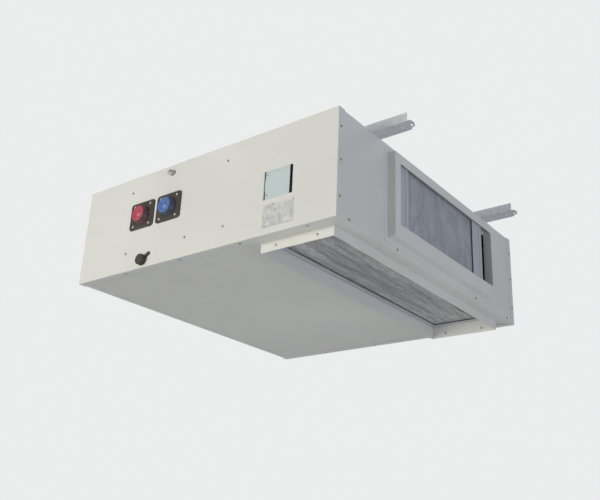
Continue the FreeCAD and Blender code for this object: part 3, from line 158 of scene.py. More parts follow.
def normal_part(tree, part):
    """One part of the direction that a face looks in."""
    normal = add_node(tree, "ShaderNodeNewGeometry").outputs["Normal"]
    return add_node(tree, "ShaderNodeSeparateXYZ", {0: normal}).outputs[part]


def spread(tree, value, low, high, to_low=0.0, to_high=1.0):
    """A value moved from one range to another, and held inside it."""
    inputs = {"Value": value, "From Min": low, "From Max": high, "To Min": to_low, "To Max": to_high}
    return add_node(tree, "ShaderNodeMapRange", inputs, clamp=True).outputs[0]


def blend(tree, factor, first, second):
    """Two colours mixed by a factor."""
    inputs = {0: factor, 6: first, 7: second}
    return add_node(tree, "ShaderNodeMix", inputs, data_type="RGBA").outputs[2]


def fade_in(tree, mask, share, first, second):
    """Two colours mixed by a share of a mask."""
    return blend(tree, work_out(tree, "MULTIPLY", mask, share), first, second)


def noise(tree, vector, scale, detail=3.0, roughness=0.5):
    """The value of a Noise texture."""
    inputs = {"Vector": vector, "Scale": scale, "Detail": detail, "Roughness": roughness}
    return add_node(tree, "ShaderNodeTexNoise", inputs).outputs[0]


def object_place(tree):
    """Object coordinates."""
    return add_node(tree, "ShaderNodeTexCoord").outputs["Object"]


def new_group(name, inputs, outputs):
    """An empty shader node group with named inputs and outputs."""
    group = bpy.data.node_groups.new(name, "ShaderNodeTree")
    for label, value in inputs:
        kind = "NodeSocketVector" if isinstance(value, tuple) else "NodeSocketFloat"
        socket = group.interface.new_socket(label, in_out="INPUT", socket_type=kind)
        socket.default_value = value
    for label in outputs:
        group.interface.new_socket(label, in_out="OUTPUT", socket_type="NodeSocketFloat")
    start = group.nodes.new("NodeGroupInput")
    end = group.nodes.new("NodeGroupOutput")
    return group, start.outputs, end.inputs


def use_group(tree, group, **values):
    """Place a shared group, with its input names written with underscores."""
    made = add_node(tree, "ShaderNodeGroup", node_tree=bpy.data.node_groups[group])
    for name, value in values.items():
        made.inputs[name.replace("_", " ")].default_value = value
    return made.outputs


# Effects that several finishes share.


def paint_film_group():
    """Sprayed paint: a broad drift of shade, fine peel and a few specks."""
    inputs = [("Drift Scale", 2.2), ("Peel Scale", 420.0), ("Speck Scale", 900.0)]
    group, values, results = new_group("Paint film", inputs, ["Drift", "Peel", "Specks"])
    place = object_place(group)
    drift = noise(group, place, values["Drift Scale"], 4.0, 0.6)
    group.links.new(spread(group, drift, 0.3, 0.7), results["Drift"])
    group.links.new(noise(group, place, values["Peel Scale"], 2.0, 0.4), results["Peel"])
    specks = noise(group, place, values["Speck Scale"], 1.0, 0.5)
    group.links.new(spread(group, specks, 0.68, 0.78), results["Specks"])


def edge_wear_and_highlight_group():
    """A broken line along the edges, made lighter by each finish: in part worn edges, in part a painted
    highlight where light catches folds and rims.
    """
    inputs = [("Width", 0.0012), ("Break Up", 90.0), ("Strength", 1.0)]
    group, values, results = new_group("Edge wear", inputs, ["Mask"])
    rounded = add_node(group, "ShaderNodeBevel", {"Radius": values["Width"]}, samples=4).outputs[0]
    flat = add_node(group, "ShaderNodeNewGeometry").outputs["Normal"]
    inputs = {0: rounded, 1: flat}
    facing = add_node(group, "ShaderNodeVectorMath", inputs, operation="DOT_PRODUCT").outputs["Value"]
    turned = spread(group, facing, 0.995, 0.86)
    patches = spread(group, noise(group, object_place(group), values["Break Up"], 3.0, 0.6), 0.42, 0.62)
    mask = work_out(group, "MULTIPLY", work_out(group, "MULTIPLY", turned, patches), values["Strength"])
    group.links.new(mask, results["Mask"])


def settled_dust_group():
    """Dust that lies on faces that look up."""
    inputs = [("Amount", 0.5), ("Scale", 14.0)]
    group, values, results = new_group("Settled dust", inputs, ["Mask"])
    lying = spread(group, normal_part(group, "Z"), 0.35, 0.95)
    clouds = spread(group, noise(group, object_place(group), values["Scale"], 6.0, 0.65), 0.35, 0.7)
    mask = work_out(group, "MULTIPLY", work_out(group, "MULTIPLY", lying, clouds), values["Amount"])
    group.links.new(mask, results["Mask"])


def zinc_spangle_group():
    """The crystal flakes of hot-dipped zinc."""
    inputs = [("Scale", 130.52)]
    group, values, results = new_group("Zinc spangle", inputs, ["Flake", "Streak"])
    place = object_place(group)
    inputs = {"Vector": place, "Scale": values["Scale"]}
    flakes = add_node(group, "ShaderNodeTexVoronoi", inputs).outputs["Color"]
    tone = add_node(group, "ShaderNodeSeparateColor", {0: flakes}).outputs[0]
    clouds = work_out(group, "MULTIPLY", noise(group, place, 60.0, 2.0), 0.3)
    group.links.new(work_out(group, "MULTIPLY_ADD", tone, 0.7, clouds), results["Flake"])
    streaks = noise(group, stretch_place(group, place, (1, 1, 6)), 30.0, 4.0)
    group.links.new(streaks, results["Streak"])


def drawn_lines_group():
    """Fine lines along one axis, as rolling or brushing leaves them."""
    inputs = [("Stretch", (1.0, 60.0, 60.0)), ("Scale", 12.0)]
    group, values, results = new_group("Drawn lines", inputs, ["Line", "Patch"])
    place = object_place(group)
    drawn = stretch_place(group, place, values["Stretch"])
    group.links.new(noise(group, drawn, values["Scale"], 4.0, 0.6), results["Line"])
    group.links.new(noise(group, place, 9.0, 3.0), results["Patch"])


def grit_group():
    """Small grains and pits, for cast, moulded and foamed surfaces."""
    inputs = [("Scale", 600.0)]
    group, values, results = new_group("Grit", inputs, ["Grain", "Pits"])
    place = object_place(group)
    group.links.new(noise(group, place, values["Scale"], 4.0, 0.7), results["Grain"])
    inputs = {"Vector": place, "Scale": values["Scale"]}
    cells = add_node(group, "ShaderNodeTexVoronoi", inputs, feature="F1").outputs["Distance"]
    group.links.new(spread(group, cells, 0.0, 0.5), results["Pits"])


def knitted_wire_group():
    """Rows of knitted wire loops with long strands, and a painted glint along them."""
    inputs = [("Stretch", (1.0, 1.0, 1.0)), ("Strand Scale", 48.0), ("Loop Scale", 220.0)]
    group, values, results = new_group("Knitted wire", inputs, ["Strand", "Loops", "Painted_Glint"])
    drawn = stretch_place(group, object_place(group), values["Stretch"])
    strand = noise(group, drawn, values["Strand Scale"], 6.0, 0.62)
    group.links.new(spread(group, strand, 0.32, 0.68), results["Strand"])
    inputs = {"Vector": drawn, "Scale": values["Loop Scale"]}
    loops = add_node(group, "ShaderNodeTexVoronoi", inputs, feature="DISTANCE_TO_EDGE").outputs[0]
    group.links.new(spread(group, loops, 0.02, 0.14), results["Loops"])
    painted_glint = noise(group, drawn, work_out(group, "MULTIPLY", values["Strand Scale"], 0.6), 3.0, 0.6)
    group.links.new(spread(group, painted_glint, 0.48, 0.6), results["Painted_Glint"])


def looks_outward_group():
    """How far a face looks toward the service side."""
    group, values, results = new_group("Looks outward", [("Start", 0.55), ("End", 0.95)], ["Share"])
    toward = work_out(group, "MULTIPLY", normal_part(group, "Y"), -1.0)
    group.links.new(spread(group, toward, values["Start"], values["End"]), results["Share"])


# Finishes.


def new_finish(name, roughness, metallic=0.0, coat=0.0, level=0.5):
    """A material with its Principled shader."""
    material = bpy.data.materials.new(name)
    material.use_nodes = True
    tree = material.node_tree
    shader = tree.nodes["Principled BSDF"]
    shader.inputs["Roughness"].default_value = roughness
    shader.inputs["Metallic"].default_value = metallic
    shader.inputs["Coat Weight"].default_value = coat
    shader.inputs["Specular IOR Level"].default_value = level
    return material, tree, shader


def link_finish(tree, shader, colour, roughness=None, height=None, bump=0.0, reach=0.0, soften=0.0):
    """Link a finish's colour, roughness and relief, with its edges softened."""
    tree.links.new(colour, shader.inputs["Base Color"])
    if roughness is not None:
        tree.links.new(roughness, shader.inputs["Roughness"])
    normal = None
    if soften:
        normal = add_node(tree, "ShaderNodeBevel", {"Radius": soften}, samples=4).outputs[0]
    if height is not None:
        inputs = {"Strength": bump, "Distance": reach, "Height": height}
        if normal is not None:
            inputs["Normal"] = normal
        normal = add_node(tree, "ShaderNodeBump", inputs).outputs[0]
    if normal is not None:
        tree.links.new(normal, shader.inputs["Normal"])


def painted_sheet(name, colour, shade, gloss, wear_and_highlight, edge):
    """Powder-coated sheet steel."""
    material, tree, shader = new_finish(name, gloss, level=0.45)
    film = use_group(tree, "Paint film")
    # The edge mask lightens edges toward the edge colour: a painted highlight along the casing's folds,
    # worn paint on the pan and the motor.
    worn_and_lit_edge = use_group(tree, "Edge wear", Width=1.6 * MM, Strength=wear_and_highlight)["Mask"]
    dusty = use_group(tree, "Settled dust", Amount=0.35)["Mask"]
    tone = blend(tree, film["Drift"], shade, colour)
    tone = fade_in(tree, film["Specks"], 0.25, tone, srgb(150, 148, 140))
    tone = blend(tree, worn_and_lit_edge, tone, edge)
    tone = fade_in(tree, dusty, 0.5, tone, srgb(150, 144, 132))
    rough = spread(tree, film["Peel"], 0.3, 0.7, gloss - 0.05, gloss + 0.06)
    rough = work_out(tree, "ADD", rough, work_out(tree, "MULTIPLY", dusty, 0.35))
    link_finish(tree, shader, tone, rough, film["Peel"], 0.12, 0.0002, 0.7 * MM)
    return material


def zinc_sheet(name, light, dark, roughness, scale=130.52, metallic=0.85):
    """Galvanised sheet with its spangle."""
    material, tree, shader = new_finish(name, roughness, metallic=metallic)
    zinc = use_group(tree, "Zinc spangle", Scale=scale)
    dusty = use_group(tree, "Settled dust", Amount=0.3)["Mask"]
    worn_and_lit_edge = use_group(tree, "Edge wear", Width=0.9 * MM, Strength=0.6)["Mask"]
    tone = blend(tree, zinc["Flake"], dark, light)
    tone = fade_in(tree, zinc["Streak"], 0.25, tone, dark)
    tone = blend(tree, worn_and_lit_edge, tone, srgb(214, 216, 218))
    tone = blend(tree, dusty, tone, DUST)
    rough = spread(tree, zinc["Flake"], 0.0, 1.0, roughness + 0.1, roughness - 0.04)
    link_finish(tree, shader, tone, rough, zinc["Flake"], 0.02, 0.0002, 0.5 * MM)
    return material


def drawn_metal(name, light, dark, roughness, stretch, metallic=0.9):
    """Rolled, brushed or turned metal."""
    material, tree, shader = new_finish(name, roughness, metallic=metallic)
    drawn = use_group(tree, "Drawn lines", Stretch=stretch, Scale=12.0)
    worn_and_lit_edge = use_group(tree, "Edge wear", Width=0.8 * MM, Strength=0.8)["Mask"]
    tone = blend(tree, drawn["Line"], dark, light)
    tone = fade_in(tree, drawn["Patch"], 0.35, tone, dark)
    tone = blend(tree, worn_and_lit_edge, tone, light)
    rough = spread(tree, drawn["Line"], 0.25, 0.75, roughness + 0.1, roughness - 0.07)
    link_finish(tree, shader, tone, rough, drawn["Line"], 0.08, 0.0002, 0.4 * MM)
    return material


def moulded(name, colour, shade, roughness, scale=600.0, bump=0.15, wear_and_highlight=0.35):
    """Moulded plastic or rubber."""
    material, tree, shader = new_finish(name, roughness)
    grit = use_group(tree, "Grit", Scale=scale)
    dusty = use_group(tree, "Settled dust", Amount=0.3)["Mask"]
    # The edge mask lightens edges toward white: a painted highlight on the rims of the rubber pipe
    # plates, worn edges elsewhere.
    worn_and_lit_edge = use_group(tree, "Edge wear", Width=1.0 * MM, Strength=wear_and_highlight)["Mask"]
    tone = blend(tree, grit["Grain"], shade, colour)
    tone = blend(tree, worn_and_lit_edge, tone, blend(tree, 0.4, colour, (1, 1, 1, 1)))
    tone = blend(tree, dusty, tone, DUST)
    rough = spread(tree, grit["Grain"], 0.3, 0.7, roughness - 0.05, roughness + 0.07)
    link_finish(tree, shader, tone, rough, grit["Grain"], bump, 0.0003, 0.6 * MM)
    return material


def foam_sheet(name):
    """Closed-cell foam, full of small pits."""
    material, tree, shader = new_finish(name, 0.95, level=0.2)
    grit = use_group(tree, "Grit", Scale=420.0)
    tone = blend(tree, grit["Pits"], srgb(26, 26, 28), srgb(64, 64, 66))
    link_finish(tree, shader, tone, None, grit["Pits"], 0.6, 0.0008)
    return material


def knitted_pad(name, light, dark, stretch, painted_glint):
    """Knitted aluminium wire, crimped in rows."""
    material, tree, shader = new_finish(name, 0.5)
    wire = use_group(tree, "Knitted wire", Stretch=stretch)
    tone = blend(tree, wire["Strand"], dark, light)
    # Painted highlight: near-white streaks of glint over the wire.
    tone = fade_in(tree, wire["Painted_Glint"], painted_glint, tone, srgb(250, 250, 248))
    # Painted shade: the low gaps between the loops are darkened toward the dark colour.
    between = work_out(tree, "SUBTRACT", 1.0, wire["Loops"])
    tone = fade_in(tree, between, 0.5, tone, dark)
    height = work_out(tree, "ADD", wire["Strand"], work_out(tree, "MULTIPLY", wire["Loops"], 0.5))
    link_finish(tree, shader, tone, None, height, 0.5, 0.001)
    return material


def cap_plastic(name, colour, side):
    """Moulded cap: its open face has the cap's colour, and its grooved side a painted shade."""
    material, tree, shader = new_finish(name, 0.34, coat=0.2)
    grit = use_group(tree, "Grit", Scale=300.0)
    facing_out = use_group(tree, "Looks outward")["Share"]
    # Painted shade: faces that turn away from the service side take the dark side colour.
    tone = blend(tree, facing_out, side, colour)
    tone = fade_in(tree, grit["Grain"], 0.12, tone, (1, 1, 1, 1))
    rough = spread(tree, grit["Grain"], 0.3, 0.7, 0.28, 0.42)
    link_finish(tree, shader, tone, rough, grit["Grain"], 0.04, 0.0003, 0.8 * MM)
    return material


def blank_film(name, colour, mottle):
    """The film of a blank plate, with a soft mottle."""
    material, tree, shader = new_finish(name, 0.5, level=0.35)
    film = use_group(tree, "Paint film", Drift_Scale=95.0)
    tone = blend(tree, film["Drift"], mottle, colour)
    tone = fade_in(tree, film["Specks"], 0.6, tone, mottle)
    link_finish(tree, shader, tone, None, film["Peel"], 0.05, 0.0002)
    return material


def bare_copper(name):
    """Drawn copper with a light tarnish."""
    material, tree, shader = new_finish(name, 0.32, metallic=0.95)
    drawn = use_group(tree, "Drawn lines", Stretch=(60.0, 60.0, 4.0), Scale=8.0)
    tarnish = spread(tree, drawn["Patch"], 0.4, 0.65)
    tone = blend(tree, drawn["Line"], srgb(176, 104, 70), srgb(214, 142, 104))
    tone = fade_in(tree, tarnish, 0.6, tone, srgb(112, 66, 48))
    rough = spread(tree, tarnish, 0.0, 1.0, 0.26, 0.48)
    link_finish(tree, shader, tone, rough, drawn["Line"], 0.06, 0.0002)
    return material


def make_finishes():
    """Every finish, by the record's material slot, and the few that no slot has."""
    colours = bpy.context.scene.fan_coil_colours
    paint, red, blue, plate = [tuple(value) for value in (
        colours.paint, colours.flow_cap, colours.return_cap, colours.plate)]
    return {
        # The casing's light edge colour is a painted highlight along its folds.
        "casing": painted_sheet(
            "Casing paint", paint, srgb(223, 222, 215), 0.42, 0.5, srgb(248, 248, 246)),
        "galvanised": zinc_sheet(
            "Galvanised sheet", srgb(232, 233, 235), srgb(206, 208, 211), 0.38, metallic=0.35),
        "filter_frame": drawn_metal(
            "Filter frame", srgb(214, 215, 219), srgb(196, 198, 203), 0.45, (60, 2, 60), metallic=0.4),
        # The last number of each wire pad is the share of its painted glint.
        "filter_mesh": knitted_pad(
            "Filter wire", srgb(255, 255, 253), srgb(138, 138, 137), (0.8, 0.075, 0.8), 1.0),
        "foam": foam_sheet("Lining foam"),
        "fins": drawn_metal(
            "Coil fins", srgb(238, 240, 242), srgb(214, 217, 220), 0.4, (60, 60, 2), metallic=0.2),
        "copper": bare_copper("Bare copper"),
        # The plates' strong edge lightening is a painted highlight on their rims.
        "seal_rubber": moulded("Plate rubber", plate, srgb(50, 48, 40), 0.62, wear_and_highlight=0.9),
        # The second colour of each cap is the painted shade of its side.
        "red_plastic": cap_plastic("Red cap plastic", red, srgb(92, 16, 32)),
        "blue_plastic": cap_plastic("Blue cap plastic", blue, srgb(22, 32, 74)),
        "vent_metal": drawn_metal(
            "Vent nickel", srgb(222, 222, 220), srgb(176, 176, 173), 0.38, (60, 4, 60), metallic=0.5),
        "pan_steel": painted_sheet(
            "Pan coating", srgb(84, 86, 88), srgb(66, 68, 70), 0.5, 0.5, srgb(150, 150, 148)),
        "zinc_screw": drawn_metal(
            "Screw zinc", srgb(206, 206, 200), srgb(140, 140, 136), 0.32, (20, 20, 20)),
        "fan_steel": zinc_sheet("Fan sheet", srgb(190, 193, 196), srgb(136, 140, 145), 0.4, 170.68),
        "shaft_steel": drawn_metal(
            "Ground shaft", srgb(190, 190, 190), srgb(130, 130, 130), 0.24, (60, 2, 60)),
        "motor_paint": painted_sheet(
            "Motor enamel", srgb(56, 60, 64), srgb(44, 47, 50), 0.38, 0.6, srgb(120, 120, 118)),
        "motor_core": drawn_metal(
            "Core laminations", srgb(122, 112, 104), srgb(70, 62, 56), 0.5, (4, 90, 4)),
        "cast_alloy": moulded(
            "Cast alloy", srgb(176, 178, 180), srgb(140, 142, 145), 0.5, 420.0, 0.3),
        "pale_plastic": moulded("Pale plastic", srgb(214, 216, 212), srgb(196, 198, 194), 0.5),
        "flap_plastic": moulded(
            "Flap plastic", srgb(206, 217, 216), srgb(198, 210, 209), 0.4, 500.0, 0.06),
        "plate_screw": drawn_metal(
            "Pale zinc", srgb(236, 230, 212), srgb(206, 198, 178), 0.4, (20, 20, 20), metallic=0.3),
        "rear_mesh": knitted_pad(
            "Rear filter wire", srgb(214, 216, 221), srgb(174, 176, 183), (1.0, 0.8, 0.4), 0.25),
        "data_plate": blank_film("Blank plate film", srgb(226, 226, 223), srgb(178, 178, 178)),
    }


# Modelling helpers.


def start_clean():
    """Leave edit mode and deselect everything."""
    if bpy.context.object and bpy.context.object.mode != "OBJECT":
        bpy.ops.object.mode_set(mode="OBJECT")
    bpy.ops.object.select_all(action="DESELECT")


def choose(piece, kind, wanted):
    """Go to edit mode with only the wanted faces or edges selected."""
    if piece.mode != "EDIT":
        bpy.ops.object.mode_set(mode="EDIT")
    bpy.ops.mesh.select_mode(type=kind)
    bpy.ops.mesh.select_all(action="DESELECT")
    bpy.ops.object.mode_set(mode="OBJECT")
    mesh = piece.data
    if kind == "FACE":
        for face in mesh.polygons:
            face.select = wanted(face.center, face.normal)
    else:
        for edge in mesh.edges:
            first, last = [mesh.vertices[index].co for index in edge.vertices]
            edge.select = wanted(first, last)
    bpy.ops.object.mode_set(mode="EDIT")


def take_up(piece):
    """Leave a piece the only one selected, and active."""
    start_clean()
    piece.select_set(True)
    bpy.context.view_layer.objects.active = piece


def settle(piece):
    """Put a piece's place, turn and scale into its mesh."""
    take_up(piece)
    bpy.ops.object.transform_apply(location=True, rotation=True, scale=True)


def apply_all(piece):
    """Apply a piece's modifiers."""
    take_up(piece)
    for modifier in list(piece.modifiers):
        bpy.ops.object.modifier_apply(modifier=modifier.name)


def smooth(piece):
    """Smooth shading over a piece's shallow edges."""
    take_up(piece)
    bpy.ops.object.shade_smooth_by_angle(angle=SHARP)


def box_piece(name, low, high):
    """A cuboid between two corners."""
    start_clean()
    low, high = Vector(low), Vector(high)
    bpy.ops.mesh.primitive_cube_add(size=1, location=(low + high) / 2)
    piece = bpy.context.object
    piece.name = piece.data.name = name
    piece.scale = high - low
    settle(piece)
    return piece


def round_piece(name, radius, height, sides, start=0.0):
    """A cylinder along +Z that stands at a height."""
    start_clean()
    middle = (0, 0, start + height / 2)
    bpy.ops.mesh.primitive_cylinder_add(vertices=sides, radius=radius, depth=height, location=middle)
    piece = bpy.context.object
    piece.name = piece.data.name = name
    settle(piece)
    return piece


def combine(piece, tool, operation="DIFFERENCE"):
    """Cut a tool's shape out of a piece, or add it, and remove the tool."""
    modifier = piece.modifiers.new("Combine", "BOOLEAN")
    modifier.operation = operation
    modifier.solver = "EXACT"
    modifier.object = tool
    apply_all(piece)
    bpy.data.objects.remove(tool)


def cut_slot(piece, half_length, half_width, floor):
    """Cut a straight slot across the top of a piece."""
    low = (-half_length, -half_width, floor)
    combine(piece, box_piece("slot", low, (half_length, half_width, floor + 20 * MM)))


def round_edges(piece, width):
    """Round a piece's sharp edges."""
    modifier = piece.modifiers.new("Round", "BEVEL")
    modifier.width = width
    modifier.segments = 2
    modifier.limit_method = "ANGLE"
    modifier.angle_limit = SHARP
    apply_all(piece)


def gather(name, pieces):
    """Join pieces into one."""
    start_clean()
    for piece in pieces:
        piece.select_set(True)
    bpy.context.view_layer.objects.active = pieces[0]
    bpy.ops.object.join()
    joined = bpy.context.object
    joined.name = joined.data.name = name
    return joined


def carry_to(piece, matrix):
    """Move a piece to its place, in its mesh."""
    piece.matrix_world = matrix
    settle(piece)
    return piece


def copy_to(piece, matrix):
    """A copy of a piece with its own mesh, carried to a place."""
    twin = piece.copy()
    twin.data = piece.data.copy()
    bpy.context.scene.collection.objects.link(twin)
    twin.matrix_world = matrix
    settle(twin)
    return twin


def copies_of(master, name, matrices):
    """One piece made of copies of a master, which is removed."""
    copies = [copy_to(master, matrix) for matrix in matrices]
    bpy.data.objects.remove(master)
    return gather(name, copies)


def hand_over(piece, slot, body, *nodes, finish=None):
    """Give a finished piece its finish, its slot, its body and the nodes that it stands for."""
    piece.data.materials.clear()
    piece.data.materials.append(FINISHES[finish or slot])
    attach(piece, body)
    if nodes:
        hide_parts(*nodes)


def facing(place, direction):
    """A matrix that stands something modelled along +Z on a place, along a direction."""
    turn = Z_AXIS.rotation_difference(direction).to_matrix().to_4x4()
    return Matrix.Translation(place) @ turn


def solids_of(node):
    """The corner lists of the separate screws of a CAD node."""
    apart = 12 * MM
    clusters = []
    for vertex in NODES[node].data.vertices:
        for cluster in clusters:
            if (cluster[0] - vertex.co).length < apart:
                cluster.append(vertex.co.copy())
                break
        else:
            clusters.append([vertex.co.copy()])
    return clusters


def seat_and_direction(corners):
    """Where a screw head sits, and which way it looks, from its wide and narrow ends."""
    low = Vector([min(corner[axis] for corner in corners) for axis in range(3)])
    high = Vector([max(corner[axis] for corner in corners) for axis in range(3)])
    middle = (low + high) / 2
    size = high - low
    axis = min(range(3), key=lambda index: size[index])
    spans = []
    for level in (low[axis], high[axis]):
        ring = [corner for corner in corners if abs(corner[axis] - level) < size[axis] / 10]
        spans.append(max((corner - middle).length for corner in ring))
    direction = Vector((0, 0, 0))
    direction[axis] = 1 if spans[0] > spans[1] else -1
    middle[axis] = low[axis] if direction[axis] > 0 else high[axis]
    return middle, direction


# Pieces.


def model_screw_head():
    """A pan head with a cross recess, standing on the origin."""
    head = round_piece("screw_head", 3.6 * MM, 1.8 * MM, 20)
    choose(head, "EDGE", lambda first, last: min(first.z, last.z) > 1.7 * MM)
    bpy.ops.mesh.bevel(offset=1.1 * MM, segments=3, profile=0.5)
    start_clean()
    cut_slot(head, 2.1 * MM, 0.4 * MM, 0.9 * MM)
    cut_slot(head, 0.4 * MM, 2.1 * MM, 0.9 * MM)
    smooth(head)
    return head


def screws_for(node, name, finish=None):
    """A screw head on each seat of a CAD node's screws."""
    places = []
    for number, corners in enumerate(solids_of(node)):
        place, direction = seat_and_direction(corners)
        places.append(facing(place, direction) @ Matrix.Rotation(number * 1.1, 4, "Z"))
    heads = copies_of(model_screw_head(), name, places)
    hand_over(heads, "zinc_screw", "unit", node, finish=finish)


def ribbed_cap(name, radius, face, height, bore, ribs, centre):
    """A tapered cap along -Y with grip grooves round its side, a dished face and a bore behind."""
    cap = round_piece(name, radius, height, ribs * 4)
    choose(cap, "FACE", lambda middle, normal: normal.z > 0.9)
    bpy.ops.transform.resize(value=(face / radius, face / radius, 1))
    dish_face(cap, face)
    choose(cap, "FACE", lambda middle, normal: normal.z < -0.9)
    bpy.ops.mesh.inset(thickness=radius - bore, depth=0)
    bpy.ops.mesh.extrude_region_move(TRANSFORM_OT_translate={"value": (0, 0, height - 4 * MM)})
    step = math.tau / ribs

    def in_groove(middle, normal):
        sideways = abs(normal.z) < 0.6 and middle.xy.length > bore + 1 * MM
        return sideways and math.atan2(middle.y, middle.x) % step < step / 2

    choose(cap, "FACE", in_groove)
    bpy.ops.mesh.inset(thickness=0.5 * MM, depth=-0.9 * MM)
    start_clean()
    round_edges(cap, 0.35 * MM)
    smooth(cap)
    return carry_to(cap, facing(centre, -Y_AXIS))


def dish_face(cap, face):
    """Dish the face of a cap inside a rounded rim, with a small boss at its middle."""
    choose(cap, "FACE", lambda middle, normal: normal.z > 0.9)
    bpy.ops.mesh.inset(thickness=face * 0.32, depth=0)
    bpy.ops.mesh.inset(thickness=face * 0.05, depth=-1.4 * MM)
    bpy.ops.mesh.inset(thickness=face * 0.30, depth=0)
    bpy.ops.mesh.inset(thickness=face * 0.05, depth=0.9 * MM)
    start_clean()


def pipe_plate(name, node, bore):
    """A rubber plate with round corners, a pressed line inside its edge and a hole for its pipe."""
    low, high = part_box(node)
    plate = box_piece(name, low, high)
    choose(plate, "EDGE", lambda first, last: abs(first.y - last.y) > 1 * MM)
    bpy.ops.mesh.bevel(offset=9 * MM, segments=8)
    choose(plate, "FACE", lambda middle, normal: normal.y < -0.9)
    for thickness, depth in ((2.4, 0), (0.6, -0.7), (1.2, 0), (0.6, 0.7)):
        bpy.ops.mesh.inset(thickness=thickness * MM, depth=depth * MM)
    tool = round_piece("hole", bore, 30 * MM, 72, -15 * MM)
    combine(plate, carry_to(tool, facing((low + high) / 2, -Y_AXIS)))
    round_edges(plate, 0.3 * MM)
    smooth(plate)
    return plate


def rubber_drain_cap(name, radius, bore, angle):
    """A soft cap with a rolled rim and a pull tab that leans upward."""
    low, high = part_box("drain_cap")
    height = high.y - low.y
    cap = round_piece(name, radius, height, 64)
    choose(cap, "EDGE", lambda first, last: min(first.z, last.z) > height * 0.9)
    bpy.ops.mesh.bevel(offset=2.4 * MM, segments=4, profile=0.5)
    choose(cap, "FACE", lambda middle, normal: normal.z > 0.99)
    bpy.ops.mesh.inset(thickness=1.6 * MM, depth=0)
    bpy.ops.mesh.inset(thickness=1.0 * MM, depth=-0.9 * MM)
    reach, half, thick = 34.4 * MM, 4.5 * MM, 3.5 * MM
    tab = box_piece("tab", (radius * 0.8, -half, 0), (reach, half, thick))
    choose(tab, "EDGE", lambda first, last: abs(first.z - last.z) > 3 * MM and first.x > 30 * MM)
    bpy.ops.mesh.bevel(offset=4.4 * MM, segments=8)
    start_clean()
    combine(cap, carry_to(tab, Matrix.Rotation(angle, 4, "Z")), "UNION")
    combine(cap, round_piece("mouth", bore, height - 2 * MM, 48, -0.01 * MM))
    round_edges(cap, 0.5 * MM)
    smooth(cap)
    return carry_to(cap, facing(Vector((low.x + radius, high.y, low.z + radius)), -Y_AXIS))


def knurled_collar(name, radius, height, knurls):
    """A round collar with a chamfered rim and straight knurls round its side."""
    collar = round_piece(name, radius, height, knurls * 3)
    choose(collar, "EDGE", lambda first, last: min(first.z, last.z) > height * 0.9)
    bpy.ops.mesh.bevel(offset=1.1 * MM, segments=2)
    step = math.tau / knurls

    def in_groove(middle, normal):
        return abs(normal.z) < 0.3 and math.atan2(middle.y, middle.x) % step < step / 3

    choose(collar, "FACE", in_groove)
    bpy.ops.mesh.inset(thickness=0.25 * MM, depth=-0.5 * MM)
    smooth(collar)
    return collar


def node_cap_place(node):
    """The middle of a node's seat against the casing, and its size."""
    low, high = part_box(node)
    return Vector(((low.x + high.x) / 2, high.y, (low.z + high.z) / 2)), high - low


def diamond_grid(name, low, high, across_axis, wire, length, width):
    """A flat grid of diamond cells, long along Y, that fills a window."""
    start_clean()
    size = high - low
    cells = int(size.y / length + size[across_axis] / width + 2)
    count = cells + cells % 2
    side = count * math.sqrt(0.5)
    bpy.ops.mesh.primitive_grid_add(x_subdivisions=count, y_subdivisions=count, size=side)
    grid = bpy.context.object
    grid.name = grid.data.name = name
    grid.rotation_euler = (0, 0, math.pi / 4)
    settle(grid)
    grid.scale = (length, width, 1)
    settle(grid)
    bpy.ops.object.mode_set(mode="EDIT")
    for axis, reach in ((X_AXIS, size.y / 2), (Y_AXIS, size[across_axis] / 2)):
        for normal in (axis, -axis):
            bpy.ops.mesh.select_all(action="SELECT")
            bpy.ops.mesh.bisect(plane_co=normal * reach, plane_no=normal, clear_outer=True)
    start_clean()
    modifier = grid.modifiers.new("Wire", "WIREFRAME")
    modifier.thickness = wire
    modifier.use_even_offset = False
    modifier.use_boundary = False
    apply_all(grid)
    across = Vector((0, 0, 0))
    across[across_axis] = 1
    turn = Matrix((Y_AXIS, across, Y_AXIS.cross(across))).transposed().to_4x4()
    return carry_to(grid, Matrix.Translation((low + high) / 2) @ turn)


